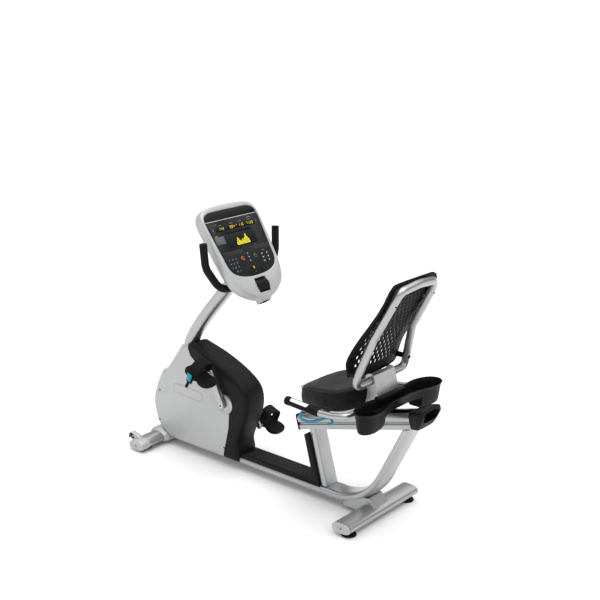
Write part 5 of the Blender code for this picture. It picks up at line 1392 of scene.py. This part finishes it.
def make_tray():
    """One moulding: a trough with a deep tapering well at each end, under one flared rim, and its collar."""
    outside = tray_loft((
        (0.5505, 0.0235), (0.5520, 0.0195), (0.5555, 0.0163), (0.5625, 0.0140), (0.5855, 0.0104),
        (0.6180, 0.0064), (0.6360, 0.0030), (0.6430, 0.0002), (0.6465, -0.0026), (0.6478, -0.0030),
        (0.6488, -0.0024), (0.6490, -0.0012)))
    inside = tray_loft((
        (0.5535, 0.0260), (0.5550, 0.0225), (0.5585, 0.0193), (0.5645, 0.0171), (0.5855, 0.0135),
        (0.6180, 0.0095), (0.6360, 0.0064), (0.6440, 0.0036), (0.6475, 0.0014), (0.6510, 0.0004)))
    room = carve(inside, [Shape().box(at(0.5, -0.1452, 0.4), at(0.9, 0.1452, 0.605))])
    under = Shape().box(at(0.5, -0.142, 0.4), at(0.9, 0.142, 0.602))
    Shape().loft([[at(0.6480 + a, b, z) for a, b in rounded_box(
        0.0340 - 2 * shrink, 0.2040 - 2 * shrink, 0.0120 - shrink, 6)] for z, shrink in (
            (0.6280, 0.0040), (0.6300, 0.0010), (0.6480, 0.0), (0.6500, 0.0006), (0.6510, 0.0026))]).build(
                "tray_collar", "black_plastic", "seat", angle=40)
    carve(outside, [under, room]).build("tray_shell", "black_plastic", "seat", "storage_tray", angle=40)


def rail_oval(x, half, low, high, shrink=0.0, power=5.0):
    """A rounded section square to the rail, by its half width and its lowest and highest points."""
    middle, height = (low + high) / 2, (high - low) / 2
    return [RAIL @ Vector((x, y, middle + z)) for y, z in oval(half - shrink, height - shrink, 64, power)]


def make_rail_handle():
    """The rail's rear end: a swelling cap with a handhold, open over the roller channel."""
    start = 0.668
    stations = curve_through([(start + along, half, low, high) for along, half, low, high in (
        (0.0, 0.056, -0.003, 0.079), (0.012, 0.0580, -0.0045, 0.0825), (0.025, 0.061, -0.006, 0.085),
        (0.045, 0.070, 0.000, 0.089), (0.060, 0.0742, 0.0150, 0.0895), (0.072, 0.076, 0.030, 0.089),
        (0.084, 0.0752, 0.0455, 0.0872), (0.088, 0.0735, 0.0520, 0.0855))], 3)
    x, *shape = stations[-1]
    cap = Shape().loft([
        rail_oval(start + 0.0002, 0.056, -0.003, 0.079, 0.0016), *(rail_oval(*s) for s in stations),
        rail_oval(x + 0.0010, *shape, 0.0010), rail_oval(x + 0.0016, *shape, 0.0026)])
    hand = Shape().loft([rail_oval(start + along, 0.056, 0.026, 0.070, shrink, 4.0) for along, shrink in (
        (0.035, 0.004), (0.040, 0.0), (0.076, 0.0), (0.090, -0.003), (0.150, -0.020))])
    channel = Shape().box((start - 0.010, -0.0268, 0.0400), (start + 0.030, 0.0268, 0.0750), RAIL)
    carve(cap, [hand, channel]).build("rail_handle_end", "black_plastic", "frame", "rail_rear_cap", angle=40)


def make_rail_lip():
    """The rail's front lip, a thin frame with rounded edges, and the liner of the roller channel."""
    lip = Shape().loft([[RAIL @ Vector((x, y, z)) for y, z in rounded_box(
        0.1060 - 2 * shrink, 0.0800 - 2 * shrink, 0.0090 - shrink, 6, (0.0, 0.0360))] for x, shrink in (
            (-0.0003, 0.0010), (-0.0010, 0.0), (-0.0070, 0.0), (-0.0090, 0.0012), (-0.0100, 0.0036))])
    mouth = Shape().box((-0.0060, -0.0260, 0.0400), (0.0200, 0.0260, 0.1000), RAIL)
    carve(lip, [mouth]).build("rail_front_lip", "black_plastic", "frame", "rail_front_cap", angle=40)
    channel = ((-0.0269, 0.0402), (0.0269, 0.0402), (0.0269, 0.0700), (0.0258, 0.0700), (0.0258, 0.0412),
               (-0.0258, 0.0412), (-0.0258, 0.0700), (-0.0269, 0.0700))
    Shape().loft([[(x, y, z) for y, z in channel] for x in (0.0005, 0.34, 0.6895)], RAIL).build(
        "roller_channel_liner", "dark_panel", angle=30, slot="black_plastic")


def make_strap_releases():
    """The blue release on each strap: a ridged body with a thumb tab that stands off it."""
    outline = half_plan([
        (0.0648, -0.012), (0.0700, -0.0105), (0.0742, -0.002), (0.0750, 0.008), (0.0735, 0.020),
        (0.0790, 0.031), (0.0775, 0.0330), (0.0700, 0.0275), (0.0655, 0.026), (0.0640, 0.010)], 4)
    rings = [[(a, y, z) for y, z in inset_outline(outline, shrink)] for a, shrink in (
        (-0.0230, 0.0012), (-0.0224, 0.0003), (-0.0212, 0.0), (-0.0008, 0.0), (0.0004, 0.0003),
        (0.0010, 0.0012))]
    for side, sign in SIDES:
        body = "strap_buckle_" + side
        Shape().loft(rings, pedal_place(sign)).build(
            "strap_release_" + side, "blue_plastic", body, body, angle=35)


def make_adjust_loop():
    """The blue bar that wraps round the front of the seat and frees it on the rail."""
    half = [(0.368, 0.0845, 0.446), (0.384, 0.0845, 0.456), (0.378, 0.0845, 0.474), (0.352, 0.0845, 0.474),
            (0.310, 0.086, 0.452), (0.250, 0.087, 0.428), (0.195, 0.080, 0.426), (0.168, 0.050, 0.440),
            (0.160, 0.0, 0.452)]
    route = curve_through([(x, -y, z) for x, y, z in half] + half[-2::-1], 8)
    Shape().pipe([p + SHIFT for p in route], 0.0064, 20).build(
        "adjust_loop", "blue_plastic", "adjust_handle", "adjust_handle", angle=60)


for make in (make_mast, make_beam, make_stabilizers, make_front_ends, make_console_shell, make_tray,
             make_rail_handle, make_rail_lip, make_port, make_strap_releases, make_adjust_loop):
    make()


# ---------------------------------------------------------------- the stage

def make_floor():
    """A pale, very wide floor."""
    mesh = bpy.data.meshes.new("floor")
    mesh.from_pydata([(-600, -600, 0), (600, -600, 0), (600, 600, 0), (-600, 600, 0)], [], [(0, 1, 2, 3)])
    mat, look = new_look("floor_paint", (0.90, 0.90, 0.90), 0.6, specular=0.2)
    look.ramp(look.noise(3.0), (0.3, (0.895, 0.895, 0.895)), (0.7, (0.905, 0.905, 0.905)))
    mesh.materials.append(mat)
    floor = bpy.data.objects.new("floor", mesh)
    bpy.context.scene.collection.objects.link(floor)


def make_lights():
    """A soft dome that is brightest overhead, with a wide overhead sun and a faint front one."""
    scene = bpy.context.scene
    scene.view_settings.view_transform = "Standard"
    scene.world = bpy.data.worlds.new("studio")
    scene.world.use_nodes = True
    dome = Tree(scene.world.node_tree, "Background")
    split = dome.node("SeparateXYZ")
    dome.link(dome.coordinates("Generated"), split.inputs["Vector"])
    dome.ramp(
        split.outputs["Z"], (0.0, (1.06, 1.06, 1.06)), (0.185, (1.06, 1.06, 1.06)),
        (0.205, (0.06, 0.06, 0.062)), (0.36, (0.10, 0.10, 0.102)), (0.58, (1.00, 1.00, 1.00)),
        (0.85, (1.75, 1.75, 1.75)), socket="Color")
    dome.sockets["Strength"].default_value = 0.95
    for name, place, size, power in (
            ("key", (0.9, 0.3, 5.0), 60.0, 1.15), ("front", (3.0, -3.6, 3.4), 50.0, 0.15)):
        data = bpy.data.lights.new(name, "SUN")
        data.angle = math.radians(size)
        data.energy = power
        place_object(name, data, place, -Vector(place))


def place_object(name, data, place, way):
    """A lamp or camera at a place, looking along a direction."""
    made = bpy.data.objects.new(name, data)
    made.location = place
    made.rotation_mode = "QUATERNION"
    made.rotation_quaternion = way.to_track_quat("-Z", "Y")
    bpy.context.scene.collection.objects.link(made)
    return made


def make_camera():
    """A camera behind the seat and to its left, looking down a little."""
    data = bpy.data.cameras.new("camera")
    data.sensor_width = 36.0
    data.lens = 65.73
    data.clip_end = 2000.0
    azimuth, elevation = math.radians(40.31), math.radians(16.50)
    level = math.cos(elevation)
    way = Vector((-math.sin(azimuth) * level, math.cos(azimuth) * level, -math.sin(elevation)))
    bpy.context.scene.camera = place_object("camera", data, (3.3292, -3.770, 2.431), way)


make_floor()
make_lights()
make_camera()
